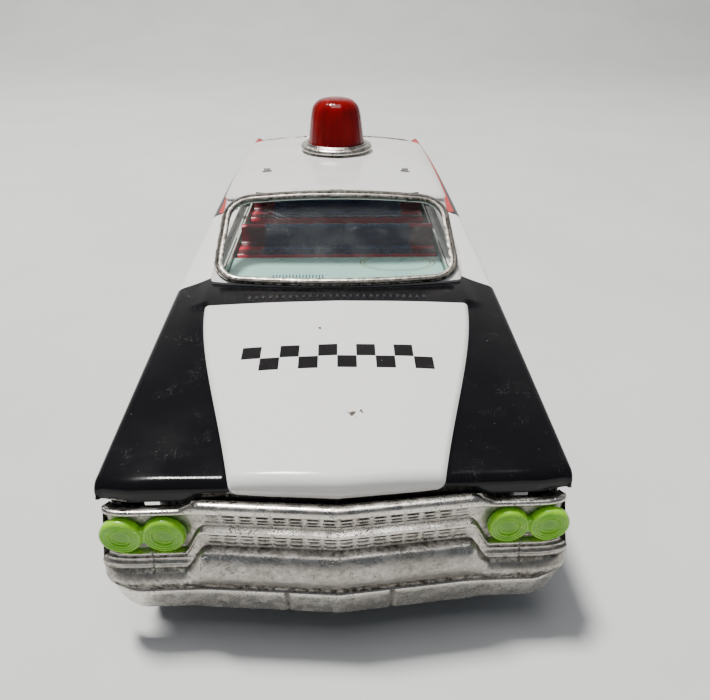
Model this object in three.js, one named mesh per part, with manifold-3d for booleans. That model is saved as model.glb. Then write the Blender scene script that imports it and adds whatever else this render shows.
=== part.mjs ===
// A friction-drive tin toy police saloon, about 283 mm long.
// Millimetres, +Z up, +Y towards the rear bumper, origin on the ground at the middle of the car.
// The pressed body, roof, grille and base plate are thin shells; a flywheel motor drives the rear axle.

import * as THREE from "three";
import { mergeVertices } from "three/addons/utils/BufferGeometryUtils.js";
import Module from "manifold-3d";

const wasm = await Module();
wasm.setup();

// ---- Driving dimensions -------------------------------------------------------------------------

const GAP = 0.3; // between pieces that touch or turn in each other
const TIN = 0.9; // sheet thickness of the pressings

const REAR_END = 138; // rear wall of the body
const FRONT_LIP = -132; // front of the fender lips
const BODY_BOTTOM = 11;
const LIP_BOTTOM = 39.7; // lower edge of the hood lip, above the grille
const FRONT_OPENING = -127; // below the lip the side walls start here

const WHEEL_RADIUS = 17.5;
const TYRE_WIDTH = 9;
const TYRE_INNER = 38.6; // inner side of each tyre from the middle of the car
const TYRE_BORE = 11;
const AXLE_RADIUS = 1.5;
const FRONT_AXLE_Y = -94;
const REAR_AXLE_Y = 69;
const ARCH_RADIUS = 20.5;
const REAR_ARCH_TOP = 31;

const PANEL_REAR = -62.7; // rear edge of the raised hood panel
const PANEL_STEP = 1.1;

const PLATE_BOTTOM = 11.4;
const PLATE_THICK = 0.8;
const PLATE_TOP = PLATE_BOTTOM + PLATE_THICK;

const CABIN = { front: -54.2, rear: 86, half: 40.4, z: 52.9, bow: 4.8 }; // foot of the greenhouse
const ROOF = { front: -24.2, rear: 59, half: 37.6, crown: 76.5, middle: 18, side: 2.6, ends: 1.3, edge: 0.7 };
const BELT_HOLE_INSET = 2.3; // the hole in the body below the cabin, inside the greenhouse foot

const BEACON_Y = 27;
const BEACON_FOOT = 76.8;
const BEACON_TOP = 96.1;
const BRACE_Y = -1;
const BRACE_TAB_X = 25.5;

const LENS = { inner: 38.8, outer: 48, z: 31.75, radius: 4.65, back: -133.2, front: -135 };

const TUB_HALF = 37.6;
const TUB_FLOOR = 41;

const MOTOR_LEFT = 12; // outer face of the side plate at +X
const MOTOR_RIGHT = -13; // outer face of the side plate at -X
const MOTOR_PLATE = 1;
const PINION_TEETH = 9;
const AXLE_GEAR = { teeth: 24, module: 0.75 };
const LAY_GEAR = { teeth: 26, module: 0.7 };
const LAY_ANGLE = (145 / 180) * Math.PI; // direction from the axle to the layshaft, from +Y towards +Z
const FLY_ANGLE = (190 / 180) * Math.PI; // direction from the layshaft to the flywheel
const ARBOR_RADIUS = 1;
const FLYWHEEL_RADIUS = 10.7;

// ---- Small helpers ------------------------------------------------------------------------------

const lerp = THREE.MathUtils.lerp;
const smooth = THREE.MathUtils.smoothstep;

// A smooth curve through [y, value] knots, held level beyond its ends.
function through(knots) {
  return (y) => {
    const last = knots.length - 1;
    if (y <= knots[0][0]) return knots[0][1];
    if (y >= knots[last][0]) return knots[last][1];
    const i = knots.findIndex((knot) => knot[0] > y) - 1;
    const slope = (k) => {
      const a = knots[Math.max(k - 1, 0)];
      const b = knots[Math.min(k + 1, last)];
      return (b[1] - a[1]) / (b[0] - a[0]);
    };
    const [y0, v0] = knots[i];
    const [y1, v1] = knots[i + 1];
    const span = y1 - y0;
    const t = (y - y0) / span;
    const rise = t * t * (3 - 2 * t);
    return lerp(v0, v1, rise) + span * t * (1 - t) * (slope(i) * (1 - t) - slope(i + 1) * t);
  };
}

function geometryFrom(points, triangles) {
  const geometry = new THREE.BufferGeometry();
  const flat = points.flatMap((p) => [p.x, p.y, p.z]);
  geometry.setAttribute("position", new THREE.Float32BufferAttribute(flat, 3));
  geometry.setIndex(triangles);
  return geometry;
}

function signedVolume(points, triangles) {
  let total = 0;
  for (let i = 0; i < triangles.length; i += 3) {
    const [a, b, c] = [points[triangles[i]], points[triangles[i + 1]], points[triangles[i + 2]]];
    total += a.dot(new THREE.Vector3().crossVectors(b, c)) / 6;
  }
  return total;
}

// The ring's points joined to its heart, a point that sees all of them, added as the last point.
function fanCap(heartOf) {
  return (ring, start, points) => {
    points.push(heartOf(ring));
    return ring.map((p, j) => [start + j, start + ((j + 1) % ring.length), points.length - 1]);
  };
}

function middleOf(ring) {
  return ring.reduce((sum, p) => sum.add(p), new THREE.Vector3()).divideScalar(ring.length);
}

// A skin over rings of equal length. An open run of rings is capped at each end.
function loft(rings, { closed = false, cap = fanCap(middleOf) } = {}) {
  const count = rings[0].length;
  const points = rings.flat();
  const triangles = [];
  const runs = closed ? rings.length : rings.length - 1;
  for (let i = 0; i < runs; i++) {
    const here = i * count;
    const next = ((i + 1) % rings.length) * count;
    for (let j = 0; j < count; j++) {
      const k = (j + 1) % count;
      triangles.push(here + j, here + k, next + k, here + j, next + k, next + j);
    }
  }
  if (!closed) {
    const last = (rings.length - 1) * count;
    cap(rings[0], 0, points).forEach(([a, b, c]) => triangles.push(c, b, a));
    cap(rings.at(-1), last, points).forEach((triangle) => triangles.push(...triangle));
  }
  if (signedVolume(points, triangles) < 0) {
    triangles.reverse();
  }
  return geometryFrom(points, triangles);
}

function solidOf(geometry) {
  const bare = geometry.clone();
  bare.deleteAttribute("normal");
  bare.deleteAttribute("uv");
  const merged = mergeVertices(bare, 1e-4);
  const vertProperties = Float32Array.from(merged.attributes.position.array);
  const triVerts = Uint32Array.from(merged.index.array);
  return new wasm.Manifold(new wasm.Mesh({ numProp: 3, vertProperties, triVerts }));
}

function geometryOf(solid) {
  const mesh = solid.getMesh();
  const geometry = new THREE.BufferGeometry();
  geometry.setAttribute("position", new THREE.BufferAttribute(mesh.vertProperties, 3));
  geometry.setIndex(new THREE.BufferAttribute(mesh.triVerts, 1));
  return geometry;
}

// The first geometry with every cutter taken away.
function cut(geometry, ...cutters) {
  return geometryOf(cutters.reduce((solid, cutter) => solid.subtract(solidOf(cutter)), solidOf(geometry)));
}

function join(...geometries) {
  return geometryOf(geometries.map(solidOf).reduce((all, solid) => all.add(solid)));
}

function box(x, y, z) {
  const geometry = new THREE.BoxGeometry(x[1] - x[0], y[1] - y[0], z[1] - z[0]);
  return geometry.translate((x[0] + x[1]) / 2, (y[0] + y[1]) / 2, (z[0] + z[1]) / 2);
}

// An outline in the side view, [y, z] points, pushed along X from one side to the other.
function sidePrism(outline, x) {
  const shape = new THREE.Shape(outline.map(([y, z]) => new THREE.Vector2(y, z)));
  const geometry = new THREE.ExtrudeGeometry(shape, { depth: x[1] - x[0], bevelEnabled: false });
  const sideways = new THREE.Matrix4().makeBasis(
    new THREE.Vector3(0, 1, 0),
    new THREE.Vector3(0, 0, 1),
    new THREE.Vector3(1, 0, 0),
  );
  return geometry.applyMatrix4(sideways).translate(x[0], 0, 0);
}

// An outline in plan, [x, y] points, pushed up from one height to another.
function planPrism(outline, z) {
  const shape = new THREE.Shape(outline.map(([x, y]) => new THREE.Vector2(x, y)));
  const geometry = new THREE.ExtrudeGeometry(shape, { depth: z[1] - z[0], bevelEnabled: false });
  return geometry.translate(0, 0, z[0]);
}

function circle(y, z, radius, steps) {
  return Array.from({ length: steps }, (unused, i) => {
    const turn = (i / steps) * 2 * Math.PI;
    return [y + radius * Math.cos(turn), z + radius * Math.sin(turn)];
  });
}

// A round bar along X.
function bar(radius, x, y = 0, z = 0, steps = 16) {
  return sidePrism(circle(y, z, radius, steps), x);
}

// A turned piece: [radius, height] profile points in either order, lathed about Y with its faces outward.
function turned(profile, steps) {
  const doubledArea = profile.reduce((sum, [r, h], i) => {
    const [nextRadius, nextHeight] = profile[(i + 1) % profile.length];
    return sum + r * nextHeight - nextRadius * h;
  }, 0);
  const ordered = doubledArea < 0 ? [...profile].reverse() : profile;
  return new THREE.LatheGeometry(ordered.map(([r, h]) => new THREE.Vector2(r, h)), steps);
}

// A turned piece about X: [x, radius] profile points.
function turnedAlongX(profile, steps) {
  return turned(profile.map(([x, r]) => [r, x]), steps).rotateZ(-Math.PI / 2);
}

// A turned piece about Z: [radius, z] profile points.
function turnedAlongZ(profile, steps) {
  return turned(profile, steps).rotateX(Math.PI / 2);
}

// A rectangle with round corners, counter-clockwise, with its straight sides divided.
function roundedRectangle(x, y, rx, ry, cornerSteps, xSteps, ySteps) {
  const corners = [
    [x[1] - rx, y[0] + ry, -0.5],
    [x[1] - rx, y[1] - ry, 0],
    [x[0] + rx, y[1] - ry, 0.5],
    [x[0] + rx, y[0] + ry, 1],
  ];
  const points = [];
  corners.forEach(([cx, cy, start], i) => {
    for (let j = 0; j <= cornerSteps; j++) {
      const turn = (start + (0.5 * j) / cornerSteps) * Math.PI;
      points.push([cx + rx * Math.cos(turn), cy + ry * Math.sin(turn)]);
    }
    const [ax, ay] = points.at(-1);
    const [nx, ny, next] = corners[(i + 1) % 4];
    const [bx, by] = [nx + rx * Math.cos(next * Math.PI), ny + ry * Math.sin(next * Math.PI)];
    const steps = i % 2 === 0 ? ySteps : xSteps;
    for (let j = 1; j < steps; j++) {
      points.push([lerp(ax, bx, j / steps), lerp(ay, by, j / steps)]);
    }
  });
  return points;
}

const materials = {
  black: { color: 0x0c0c0e, roughness: 0.18, metalness: 0.1 },
  white: { color: 0xe4e2dd, roughness: 0.22, metalness: 0.05 },
  chrome: { color: 0xb9b4aa, roughness: 0.3, metalness: 1 },
  steel: { color: 0x9a9a98, roughness: 0.4, metalness: 1 },
  brass: { color: 0xb08d3e, roughness: 0.4, metalness: 1 },
  clear: { color: 0xcfd8d6, roughness: 0.1, metalness: 0 },
  green: { color: 0x63c62b, roughness: 0.25, metalness: 0 },
  red: { color: 0x8f0d10, roughness: 0.15, metalness: 0 },
  mint: { color: 0x8fb8a8, roughness: 0.4, metalness: 0 },
  seat: { color: 0x1f2b4a, roughness: 0.35, metalness: 0 },
  rubber: { color: 0x17171a, roughness: 0.8, metalness: 0 },
};

function piece(name, geometry, look, position = [0, 0, 0]) {
  const mesh = new THREE.Mesh(geometry, new THREE.MeshStandardMaterial(materials[look]));
  mesh.name = name;
  mesh.position.set(...position);
  return mesh;
}

// ---- Body shell ---------------------------------------------------------------------------------

const edgeHalf = through([[-133, 51], [-50, 51.2], [16, 51.9], [90, 50.2], [140, 46.6]]);
const edgeHeight = through([[-133, 43.5], [-50, 50.1], [16, 51.3], [140, 57.4]]);
const middleHeight = through([[-132, 46.6], [-100, 49.9], [-62, 52.6], [80, 52.4], [112, 51.8], [138, 49.6]]);
const panelHalf = through([[-132, 23], [-62.7, 39.7], [60, 39.7], [138, 36]]);
const panelHeight = through([[-132, 45.4], [-62.7, 51.4], [-50, 52], [80, 52], [112, 51], [138, 49]]);
const creaseHalf = through([[-132, 41.6], [-58, 44.1], [16, 46], [138, 42.5]]);
const creaseRise = through([[-132, 1], [-58, 0.9], [16, 0.6], [138, -1.6]]);

// The front edge is a shallow V across the hood and turns back at the fender tips.
function frontSweep(x) {
  const nose = -2.2 * Math.max(0, 1 - Math.abs(x) / 26);
  const tip = 1.4 * smooth(Math.abs(x), 44, 51);
  return nose + tip;
}

// Half of the cross-section, from the middle of the top to the bottom of the side, as [x, z].
function halfSection(y, step) {
  const edge = edgeHalf(y);
  const top = edgeHeight(y);
  const panel = panelHalf(y);
  const crown = middleHeight(y);
  const rim = panelHeight(y);
  const crease = creaseHalf(y);
  const valley = rim - step - 0.1;
  return [
    [0, crown],
    [panel * 0.55, lerp(rim, crown, 0.68)],
    [panel - 0.7, rim],
    [panel + 0.5, valley],
    [crease, top + creaseRise(y)],
    [edge - 1.4, top + 0.1],
    [edge, top - 0.9],
    [edge - 1.2, top - 3],
    [edge - 1.8, top - 9],
    [edge - 0.6, top - 15],
    [edge - 1.4, top - 18],
    [edge - 3.8, BODY_BOTTOM],
  ];
}

function ringFrom(half, y, shift, sink, bottom) {
  const lowered = half.map(([x, z]) => new THREE.Vector3(x, y + shift * frontSweep(x), z - sink));
  const foot = lowered.at(-1);
  foot.z = bottom;
  const mirrored = lowered.slice(1).reverse().map((p) => new THREE.Vector3(-p.x, p.y, p.z));
  return [...lowered, ...mirrored];
}

// [y, how far the top is rolled down, whether the hood panel stands up]
const BODY_STATIONS = [
  [FRONT_LIP, 2.4, 1], [-131.2, 0.8, 1], [-129.4, 0, 1], [-118, 0, 1], [-100, 0, 1], [-80, 0, 1],
  [PANEL_REAR - 0.8, 0, 1], [PANEL_REAR + 0.4, 0, 0], [-50, 0, 0], [-25, 0, 0], [5, 0, 0], [35, 0, 0],
  [65, 0, 0], [90, 0, 0], [112, 0, 0], [128, 0, 0], [136.8, 0, 0], [REAR_END, 1, 0],
];

function bodyRing([y, sink, raised]) {
  const shift = 1 - smooth(y, FRONT_LIP, -112);
  return ringFrom(halfSection(y, raised * PANEL_STEP), y, shift, sink, BODY_BOTTOM);
}

// The hollow inside the body: the same skin moved in by the sheet thickness, open below.
function hollowRing([y, sink]) {
  const inset = halfSection(y, PANEL_STEP).map(([x, z], i) => {
    const inward = i > 5 ? TIN : 0;
    return [Math.max(0, x - inward), z - TIN * 1.15];
  });
  return ringFrom(inset, y, 1 - smooth(y, FRONT_LIP, -112), sink, BODY_BOTTOM - 5);
}

function cabinOutline(inset, radius, steps) {
  const { front, rear, half, bow } = CABIN;
  const x = [-half + inset, half - inset];
  const plan = roundedRectangle(x, [front + inset, rear - inset], radius, radius, steps, 6, 2);
  return plan.map(([px, py]) => bowed(px, py, half, front, rear, bow, bow));
}

// Bends the front and rear edges of a plan outline back at their ends.
function bowed(x, y, half, front, rear, frontBow, rearBow) {
  const share = (y - front) / (rear - front);
  const out = (x / half) ** 2;
  return [x, y + out * (frontBow * (1 - share) - rearBow * share)];
}

function wheelArches() {
  const across = [-60, 60];
  const front = bar(ARCH_RADIUS, across, FRONT_AXLE_Y, WHEEL_RADIUS, 28);
  const lowTop = circle(REAR_AXLE_Y, WHEEL_RADIUS, ARCH_RADIUS, 28)
    .map(([y, z]) => [y, Math.min(z, REAR_ARCH_TOP)])
    .filter(([y, z], i, all) => z < REAR_ARCH_TOP || all[(i + 27) % 28][1] < REAR_ARCH_TOP
      || all[(i + 1) % 28][1] < REAR_ARCH_TOP);
  return [front, sidePrism(lowTop, across)];
}

function bodyShell() {
  const cap = fanCap((ring) => new THREE.Vector3(0, middleOf(ring).y, BODY_BOTTOM + 3));
  const outer = loft(BODY_STATIONS.map(bodyRing), { cap });
  const inner = loft([
    [FRONT_LIP + TIN, 2.4], [-130, 0.8], [-128, 0], [-118, 0], [-95, 0], [PANEL_REAR, 0], [-25, 0],
    [35, 0], [90, 0], [120, 0], [135, 0], [REAR_END - TIN, 1],
  ].map(hollowRing), { cap });
  const mouth = box([-60, 60], [-150, FRONT_OPENING], [0, LIP_BOTTOM]);
  const belt = planPrism(cabinOutline(BELT_HOLE_INSET, 3, 2), [46, 60]);
  return cut(outer, inner, mouth, belt, ...wheelArches());
}

// ---- Greenhouse: roof, pillars and windows ------------------------------------------------------

function roofHeight(x, y) {
  return ROOF.crown - ROOF.side * (x / ROOF.half) ** 2 - ROOF.ends * ((y - ROOF.middle) / 42) ** 2;
}

// One ring of the greenhouse: the roof edge drawn in by an inset and let down by a drop.
function roofRing(inset, drop) {
  const { front, rear, half } = ROOF;
  const radius = 4;
  const x = [-half + inset, half - inset];
  return roundedRectangle(x, [front + inset, rear - inset], radius, radius, 2, 6, 2)
    .map(([px, py]) => bowed(px, py, half, front, rear, 0.5, 0.5))
    .map(([px, py]) => new THREE.Vector3(px, py, roofHeight(px, py) - drop));
}

// The greenhouse skin, moved in and down by the shrink; below its foot it goes straight down.
function greenhouse(shrink, below) {
  const foot = (z) => cabinOutline(shrink, 1.5, 2).map(([x, y]) => new THREE.Vector3(x, y, z));
  const feet = below > 0 ? [foot(CABIN.z - shrink - below), foot(CABIN.z - shrink)] : [foot(CABIN.z)];
  const rings = [[0, ROOF.edge], [1.6, 0.1], [10, 0], [22, 0]];
  return loft([...feet, ...rings.map(([inset, drop]) => roofRing(inset + shrink, drop + shrink))]);
}

// A point on the sloping face between the greenhouse foot and the roof edge.
// u runs from -1 to 1 across the car, t from 0 at the foot to 1 at the roof, lift stands off the face.
function slopePoint(end, u, t, lift) {
  const foot = end < 0 ? CABIN.front : CABIN.rear;
  const head = end < 0 ? ROOF.front : ROOF.rear;
  const headHeight = roofHeight(u * ROOF.half, head) - ROOF.edge;
  const run = Math.abs(head - foot);
  const rise = roofHeight(0, head) - ROOF.edge - CABIN.z;
  const length = Math.hypot(run, rise);
  const y = lerp(foot - end * CABIN.bow * u * u, head - end * 0.5 * u * u, t);
  return new THREE.Vector3(
    u * lerp(CABIN.half, ROOF.half, t),
    y + (end * lift * rise) / length,
    lerp(CABIN.z, headHeight, t) + (lift * run) / length,
  );
}

// The outline of a window opening on the sloping face; grow widens it all round, in millimetres.
function windowOutline(grow) {
  const u = 0.915 + grow / 39;
  const t = grow / 37;
  const radius = 5.5 + grow;
  return roundedRectangle([-u, u], [0.085 - t, 0.915 + t], radius / 39, radius / 37, 4, 6, 2);
}

function windowPlate(end, grow, back, front) {
  const outline = windowOutline(grow);
  const ring = (scale, lift) => outline.map(([u, t]) => (
    slopePoint(end, u * scale, lerp(0.5, t, scale), lift)
  ));
  return loft([ring(0.4, back), ring(1, back), ring(1, front), ring(0.4, front)]);
}

function windowFrame(end, band) {
  const outer = windowOutline(band);
  return loft(windowOutline(0).map(([u, t], i) => [
    slopePoint(end, u, t, GAP),
    slopePoint(end, outer[i][0], outer[i][1], GAP),
    slopePoint(end, outer[i][0], outer[i][1], 1.1),
    slopePoint(end, lerp(u, outer[i][0], 0.5), lerp(t, outer[i][1], 0.5), 1.7),
    slopePoint(end, u, t, 1.1),
  ]), { closed: true });
}

const SIDE_WINDOWS = [
  [[-38, 56.5], [13, 56.5], [13, 69.3], [-20, 69.3]],
  [[16.5, 56.5], [64, 56.5], [51, 69.3], [16.5, 69.3]],
];

function roofShell() {
  const skin = cut(greenhouse(0, 0), greenhouse(TIN, 5));
  const openings = [-1, 1].map((end) => windowPlate(end, 0.6, -6, 6));
  const sides = SIDE_WINDOWS.map((outline) => sidePrism(outline, [-50, 50]));
  const slots = [-1, 1].map((side) => box(
    [side * BRACE_TAB_X - 1.7, side * BRACE_TAB_X + 1.7],
    [BRACE_Y - 0.8, BRACE_Y + 0.8],
    [60, 80],
  ));
  const eyeletHole = turnedAlongZ([[0, 70], [3.4, 70], [3.4, 80], [0, 80]], 16).translate(0, BEACON_Y, 0);
  return cut(skin, ...openings, ...sides, ...slots, eyeletHole);
}

const PANE_DEPTH = TIN * 1.4 + GAP; // outer face of a pane below the outside of the greenhouse
const PANE_THICK = 0.5;

function endPane(end) {
  return windowPlate(end, 0.9, -PANE_DEPTH - 0.4 - PANE_THICK, -PANE_DEPTH - 0.4);
}

// The clear pane inside one side of the greenhouse, parallel to the sloping side wall.
function sidePane(side) {
  const wall = (z, depth) => side * (lerp(CABIN.half, ROOF.half, (z - CABIN.z) / 20) - depth);
  const outline = [[-37, 54.8], [63, 54.8], [52, 70.2], [-19, 70.2]];
  return loft([PANE_DEPTH + PANE_THICK, PANE_DEPTH].map((depth) => outline.map(([y, z]) => (
    new THREE.Vector3(wall(z, depth), y, z)
  ))));
}

function roofBrace() {
  const low = 71.4;
  const strip = box([-28, 28], [BRACE_Y - 3, BRACE_Y + 3], [low, low + 0.8]);
  const tabs = [-1, 1].map((side) => {
    const x = [side * BRACE_TAB_X - 1.2, side * BRACE_TAB_X + 1.2];
    return box(x, [BRACE_Y - 0.35, BRACE_Y + 0.35], [low + 0.4, roofHeight(BRACE_TAB_X, BRACE_Y) + 0.8]);
  });
  return join(strip, ...tabs);
}

// ---- Cabin --------------------------------------------------------------------------------------

function interiorTub() {
  const floor = sidePrism([
    [-51, 49.4], [-43, 48.6], [-25, 44], [-24, TUB_FLOOR - 0.8], [42, TUB_FLOOR - 0.8], [43, 50.7],
    [76, 50.7],
    [76, 51.5], [42, 51.5], [41, TUB_FLOOR], [-23.2, TUB_FLOOR], [-24, 44.8], [-43, 49.4], [-51, 50.2],
  ], [-TUB_HALF, TUB_HALF]);
  const sides = [-1, 1].map((side) => {
    const x = [side * (TUB_HALF - 0.6), side * TUB_HALF].sort((a, b) => a - b);
    return sidePrism([[-43.5, 48.8], [-24, 40.6], [42, 40.6], [76, 51], [76, 52.2], [-43.5, 52.2]], x);
  });
  return join(floor, ...sides);
}

// A bench seat in side view: cushion, then a backrest that leans back.
function benchSeat(halfWidth) {
  const outline = [
    [1.5, 0], [0, 7.4], [1, 8.8], [13, 8.2], [15.6, 14], [17.6, 14.6], [19, 13], [20.5, 0],
  ];
  return sidePrism(outline, [-halfWidth, halfWidth]);
}

// ---- Grille and bumpers -------------------------------------------------------------------------

// The front pressing in side view, [y, z], at the middle of the car and under the headlamps.
const GRILLE_MIDDLE = [
  [-130.5, 38.4], [-134.4, 38.7], [-135.6, 40.9], [-137.2, 41.1], [-138, 40.2], [-138, 38.7], [-136.9, 38.2],
  [-137, 34.8], [-138.6, 34.4], [-138.6, 33.4], [-137.2, 33], [-137.6, 29], [-139.8, 28.6], [-141.5, 25.6],
  [-141.3, 22.4], [-139.4, 18.2], [-139.4, 17.4], [-140, 17], [-138.4, 8.8],
];
const GRILLE_WING = [
  [-129.9, 36.2], [-131, 36.4], [-132.4, 38.1], [-133.3, 38.6], [-134, 38.2], [-134, 37.4], [-132.9, 36.9],
  [-132.9, 26.8], [-134.4, 26.6], [-134.6, 26], [-134.4, 25.6], [-135.6, 22.8], [-136.6, 22.4],
  [-137.8, 20.6],
  [-137.5, 18.7], [-136.4, 17.6], [-136.4, 17], [-136.9, 16.5], [-135.2, 9],
];
const GRILLE_CORNER = 29; // the middle part ends here
const GRILLE_WING_START = 34.5;
const GRILLE_HALF = 52.7;
const GRILLE_END_START = 44.5; // from here the ends turn back
const GRILLE_BUMPER = 12; // the first point of the bumper bar
const GRILLE_APRON = 16; // the first point of the apron
// The inside of the pressing: a point of the outline, how far behind it and how far below it.
const GRILLE_INSIDE = [
  [18, 1.4, -0.2], [15, 1.6, 0], [12, 1.4, 0], [9, 2.6, 0], [6, 1.4, 0.6], [1, 0.4, 1], [0, 0, 1],
];
const GRILLE_VEE = 2.7; // how far the nose stands ahead of the corners

function grilleRing(x) {
  const out = Math.abs(x);
  const wing = smooth(out, GRILLE_CORNER, GRILLE_WING_START);
  const vee = GRILLE_VEE * Math.min(out / GRILLE_CORNER, 1) * (1 - wing);
  const end = Math.max(0, out - GRILLE_END_START) / (GRILLE_HALF - GRILLE_END_START);
  const turn = 1 - Math.sqrt(1 - 0.97 * end ** 2);
  const outer = GRILLE_MIDDLE.map(([my, mz], i) => {
    const [wy, wz] = GRILLE_WING[i];
    const back = turn * (i < GRILLE_BUMPER ? 2 : 4.4);
    const lift = i < GRILLE_APRON ? 0 : 5 * end ** 2;
    return [lerp(my, wy, wing) + vee + back, lerp(mz, wz, wing) + lift];
  });
  const inner = GRILLE_INSIDE.map(([i, depth, sink]) => [outer[i][0] + depth, outer[i][1] - sink]);
  return [...outer, ...inner].map(([y, z]) => new THREE.Vector3(x, y, z));
}

// The end of the pressing: each inside point is joined to the stretch of outline that it follows.
function grilleCap(ring, start) {
  const count = GRILLE_MIDDLE.length;
  const triangles = [];
  GRILLE_INSIDE.slice(0, -1).forEach(([from], k) => {
    const to = GRILLE_INSIDE[k + 1][0];
    for (let j = from; j > to; j--) {
      triangles.push([j, count + k, j - 1]);
    }
    triangles.push([to, count + k, count + k + 1]);
  });
  return triangles.map((triangle) => triangle.map((i) => start + i));
}

function frontGrille() {
  const half = [5, 12, 19, 25, 29, 30.8, 32.6, 34.5, 40, 45, 48.5, 51, 52.2, GRILLE_HALF];
  const stations = [...half.map((x) => -x).reverse(), 0, ...half];
  const skin = loft(stations.map(grilleRing), { cap: grilleCap });
  const tabs = [-1, 1].map((side) => box(
    [side * 41.5 - 2, side * 41.5 + 2],
    [-130.7, -130],
    [36, 39.4],
  ));
  return join(skin, ...tabs);
}

function lensPair(side) {
  const disc = (x) => {
    const thick = LENS.back - LENS.front;
    const bulge = 0.5;
    const { radius } = LENS;
    const profile = [[0, 0], [radius, 0], [radius, thick - bulge], [radius - 0.8, thick], [0, thick]];
    return turnedAlongZ(profile, 20).rotateX(Math.PI / 2).translate(side * x, LENS.back, LENS.z);
  };
  return join(disc(LENS.inner), disc(LENS.outer));
}

function rearBumper() {
  const profile = [
    [139.4, 25.4], [140.8, 24.6], [141.5, 21], [140.9, 17.2], [139.9, 16.6], [140.3, 15.8], [139.4, 9.4],
    [138.3, 9.4], [138.3, 25.4],
  ];
  const ring = (x) => {
    const end = Math.max(0, Math.abs(x) - 38) / 10.8;
    const forward = 2.6 * end ** 2;
    const shrink = 1 - 0.25 * end ** 2;
    return profile.map(([y, z]) => {
      const depth = Math.max(0, y - 138.3) * shrink;
      const out = Math.max(depth - forward * (depth > 0), depth * 0.3);
      return new THREE.Vector3(x, 138.3 + out, 17 + (z - 17) * shrink);
    });
  };
  return loft([-48.8, -47, -43, -38, -20, 0, 20, 38, 43, 47, 48.8].map(ring));
}

function tailLamp() {
  const lens = new THREE.SphereGeometry(1, 16, 10).scale(2.5, 3, 5.4);
  return cut(lens, box([-5, 5], [-5, 0], [-8, 8]));
}

// ---- Base plate, axles and wheels ---------------------------------------------------------------

function basePlate() {
  const wide = 46.2;
  const narrow = 36.4;
  const rear = 42.2;
  const right = [
    [wide, -122], [wide, -116], [narrow, -116], [narrow, -72], [wide, -72], [wide, 46], [narrow, 46],
    [narrow, 92], [44.4, 92], [rear, 126], [38, 136.4],
  ];
  const left = right.map(([x, y]) => [-x, y]).reverse();
  const plate = planPrism([[40, -125.4], ...right, ...left, [-40, -125.4]], [PLATE_BOTTOM, PLATE_TOP]);
  const ribs = [-27, 27].map((x) => box([x - 2, x + 2], [-60, 24], [PLATE_BOTTOM - 0.8, PLATE_TOP]));
  const motorWindow = box([MOTOR_RIGHT - 1.5, MOTOR_LEFT + 1.5], [33, 82], [5, 20]);
  return cut(join(plate, ...ribs), motorWindow);
}

function axleBracket() {
  const z = [PLATE_TOP + GAP, PLATE_TOP + GAP + 1];
  const foot = box([-26, 26], [-6, 6], z);
  const ear = [[-6, z[0]], [6, z[0]], [4, WHEEL_RADIUS + 4], [-4, WHEEL_RADIUS + 4]];
  const ears = [sidePrism(ear, [-26, -25]), sidePrism(ear, [25, 26])];
  return cut(join(foot, ...ears), bar(AXLE_RADIUS + GAP + 0.05, [-30, 30], 0, WHEEL_RADIUS));
}

function tyre() {
  const half = TYRE_WIDTH / 2;
  const tread = WHEEL_RADIUS;
  return turnedAlongX([
    [-half, TYRE_BORE], [-half, tread - 2.2], [-half + 0.7, tread - 0.6], [-half + 2, tread],
    [half - 2, tread], [half - 0.7, tread - 0.6], [half, tread - 2.2], [half, TYRE_BORE], [-half, TYRE_BORE],
  ], 28);
}

// A pressed wheel with a domed hubcap: the open back takes the axle end.
function wheelHub(side) {
  const rim = TYRE_BORE - GAP;
  const bore = AXLE_RADIUS + GAP;
  const outline = [
    [-3.6, bore], [-3.6, 3.4], [1, 3.4], [1, rim - 1.2], [-4, rim - 1.2], [-4, rim], [3.8, rim],
    [4.2, rim - 1], [2.5, rim - 2], [2.6, 6.6], [4.4, 4.2], [5.2, 0], [2.6, 0], [2.6, bore], [-3.6, bore],
  ];
  return turnedAlongX(outline.map(([x, r]) => [side * x, r]), 20);
}

function axle(end) {
  return bar(AXLE_RADIUS, [-end, end]);
}

// ---- Friction motor -----------------------------------------------------------------------------

const layY = REAR_AXLE_Y + meshDistance(AXLE_GEAR) * Math.cos(LAY_ANGLE);
const layZ = WHEEL_RADIUS + meshDistance(AXLE_GEAR) * Math.sin(LAY_ANGLE);
const flyY = layY + meshDistance(LAY_GEAR) * Math.cos(FLY_ANGLE);
const flyZ = layZ + meshDistance(LAY_GEAR) * Math.sin(FLY_ANGLE);

// From the middle of a gear to the middle of the pinion it drives.
function meshDistance(gear) {
  return (gear.module * (gear.teeth + PINION_TEETH)) / 2;
}

// A gear about X with straight-sided teeth; one tooth points along the phase angle.
function gearWheel(teeth, module, phase, x) {
  const pitch = (module * teeth) / 2;
  const turn = (2 * Math.PI) / teeth;
  const corners = [[-0.27, -1.15], [-0.12, 0.8], [0.12, 0.8], [0.27, -1.15]];
  const outline = Array.from({ length: teeth }, (unused, i) => corners.map(([share, height]) => {
    const angle = phase + (i + share) * turn;
    const radius = pitch + height * module;
    return [radius * Math.cos(angle), radius * Math.sin(angle)];
  })).flat();
  return sidePrism(outline, x);
}

// A pinion with a gap towards the gear that drives it from the given direction.
function pinion(gear, direction, x) {
  return gearWheel(PINION_TEETH, gear.module, direction + Math.PI + Math.PI / PINION_TEETH, x);
}

function axleGear() {
  const wheel = join(
    gearWheel(AXLE_GEAR.teeth, AXLE_GEAR.module, LAY_ANGLE, [-10.5, -7.7]),
    bar(3.4, [-11.4, -6]),
  );
  return cut(wheel, bar(AXLE_RADIUS + GAP, [-20, 20]));
}

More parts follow.
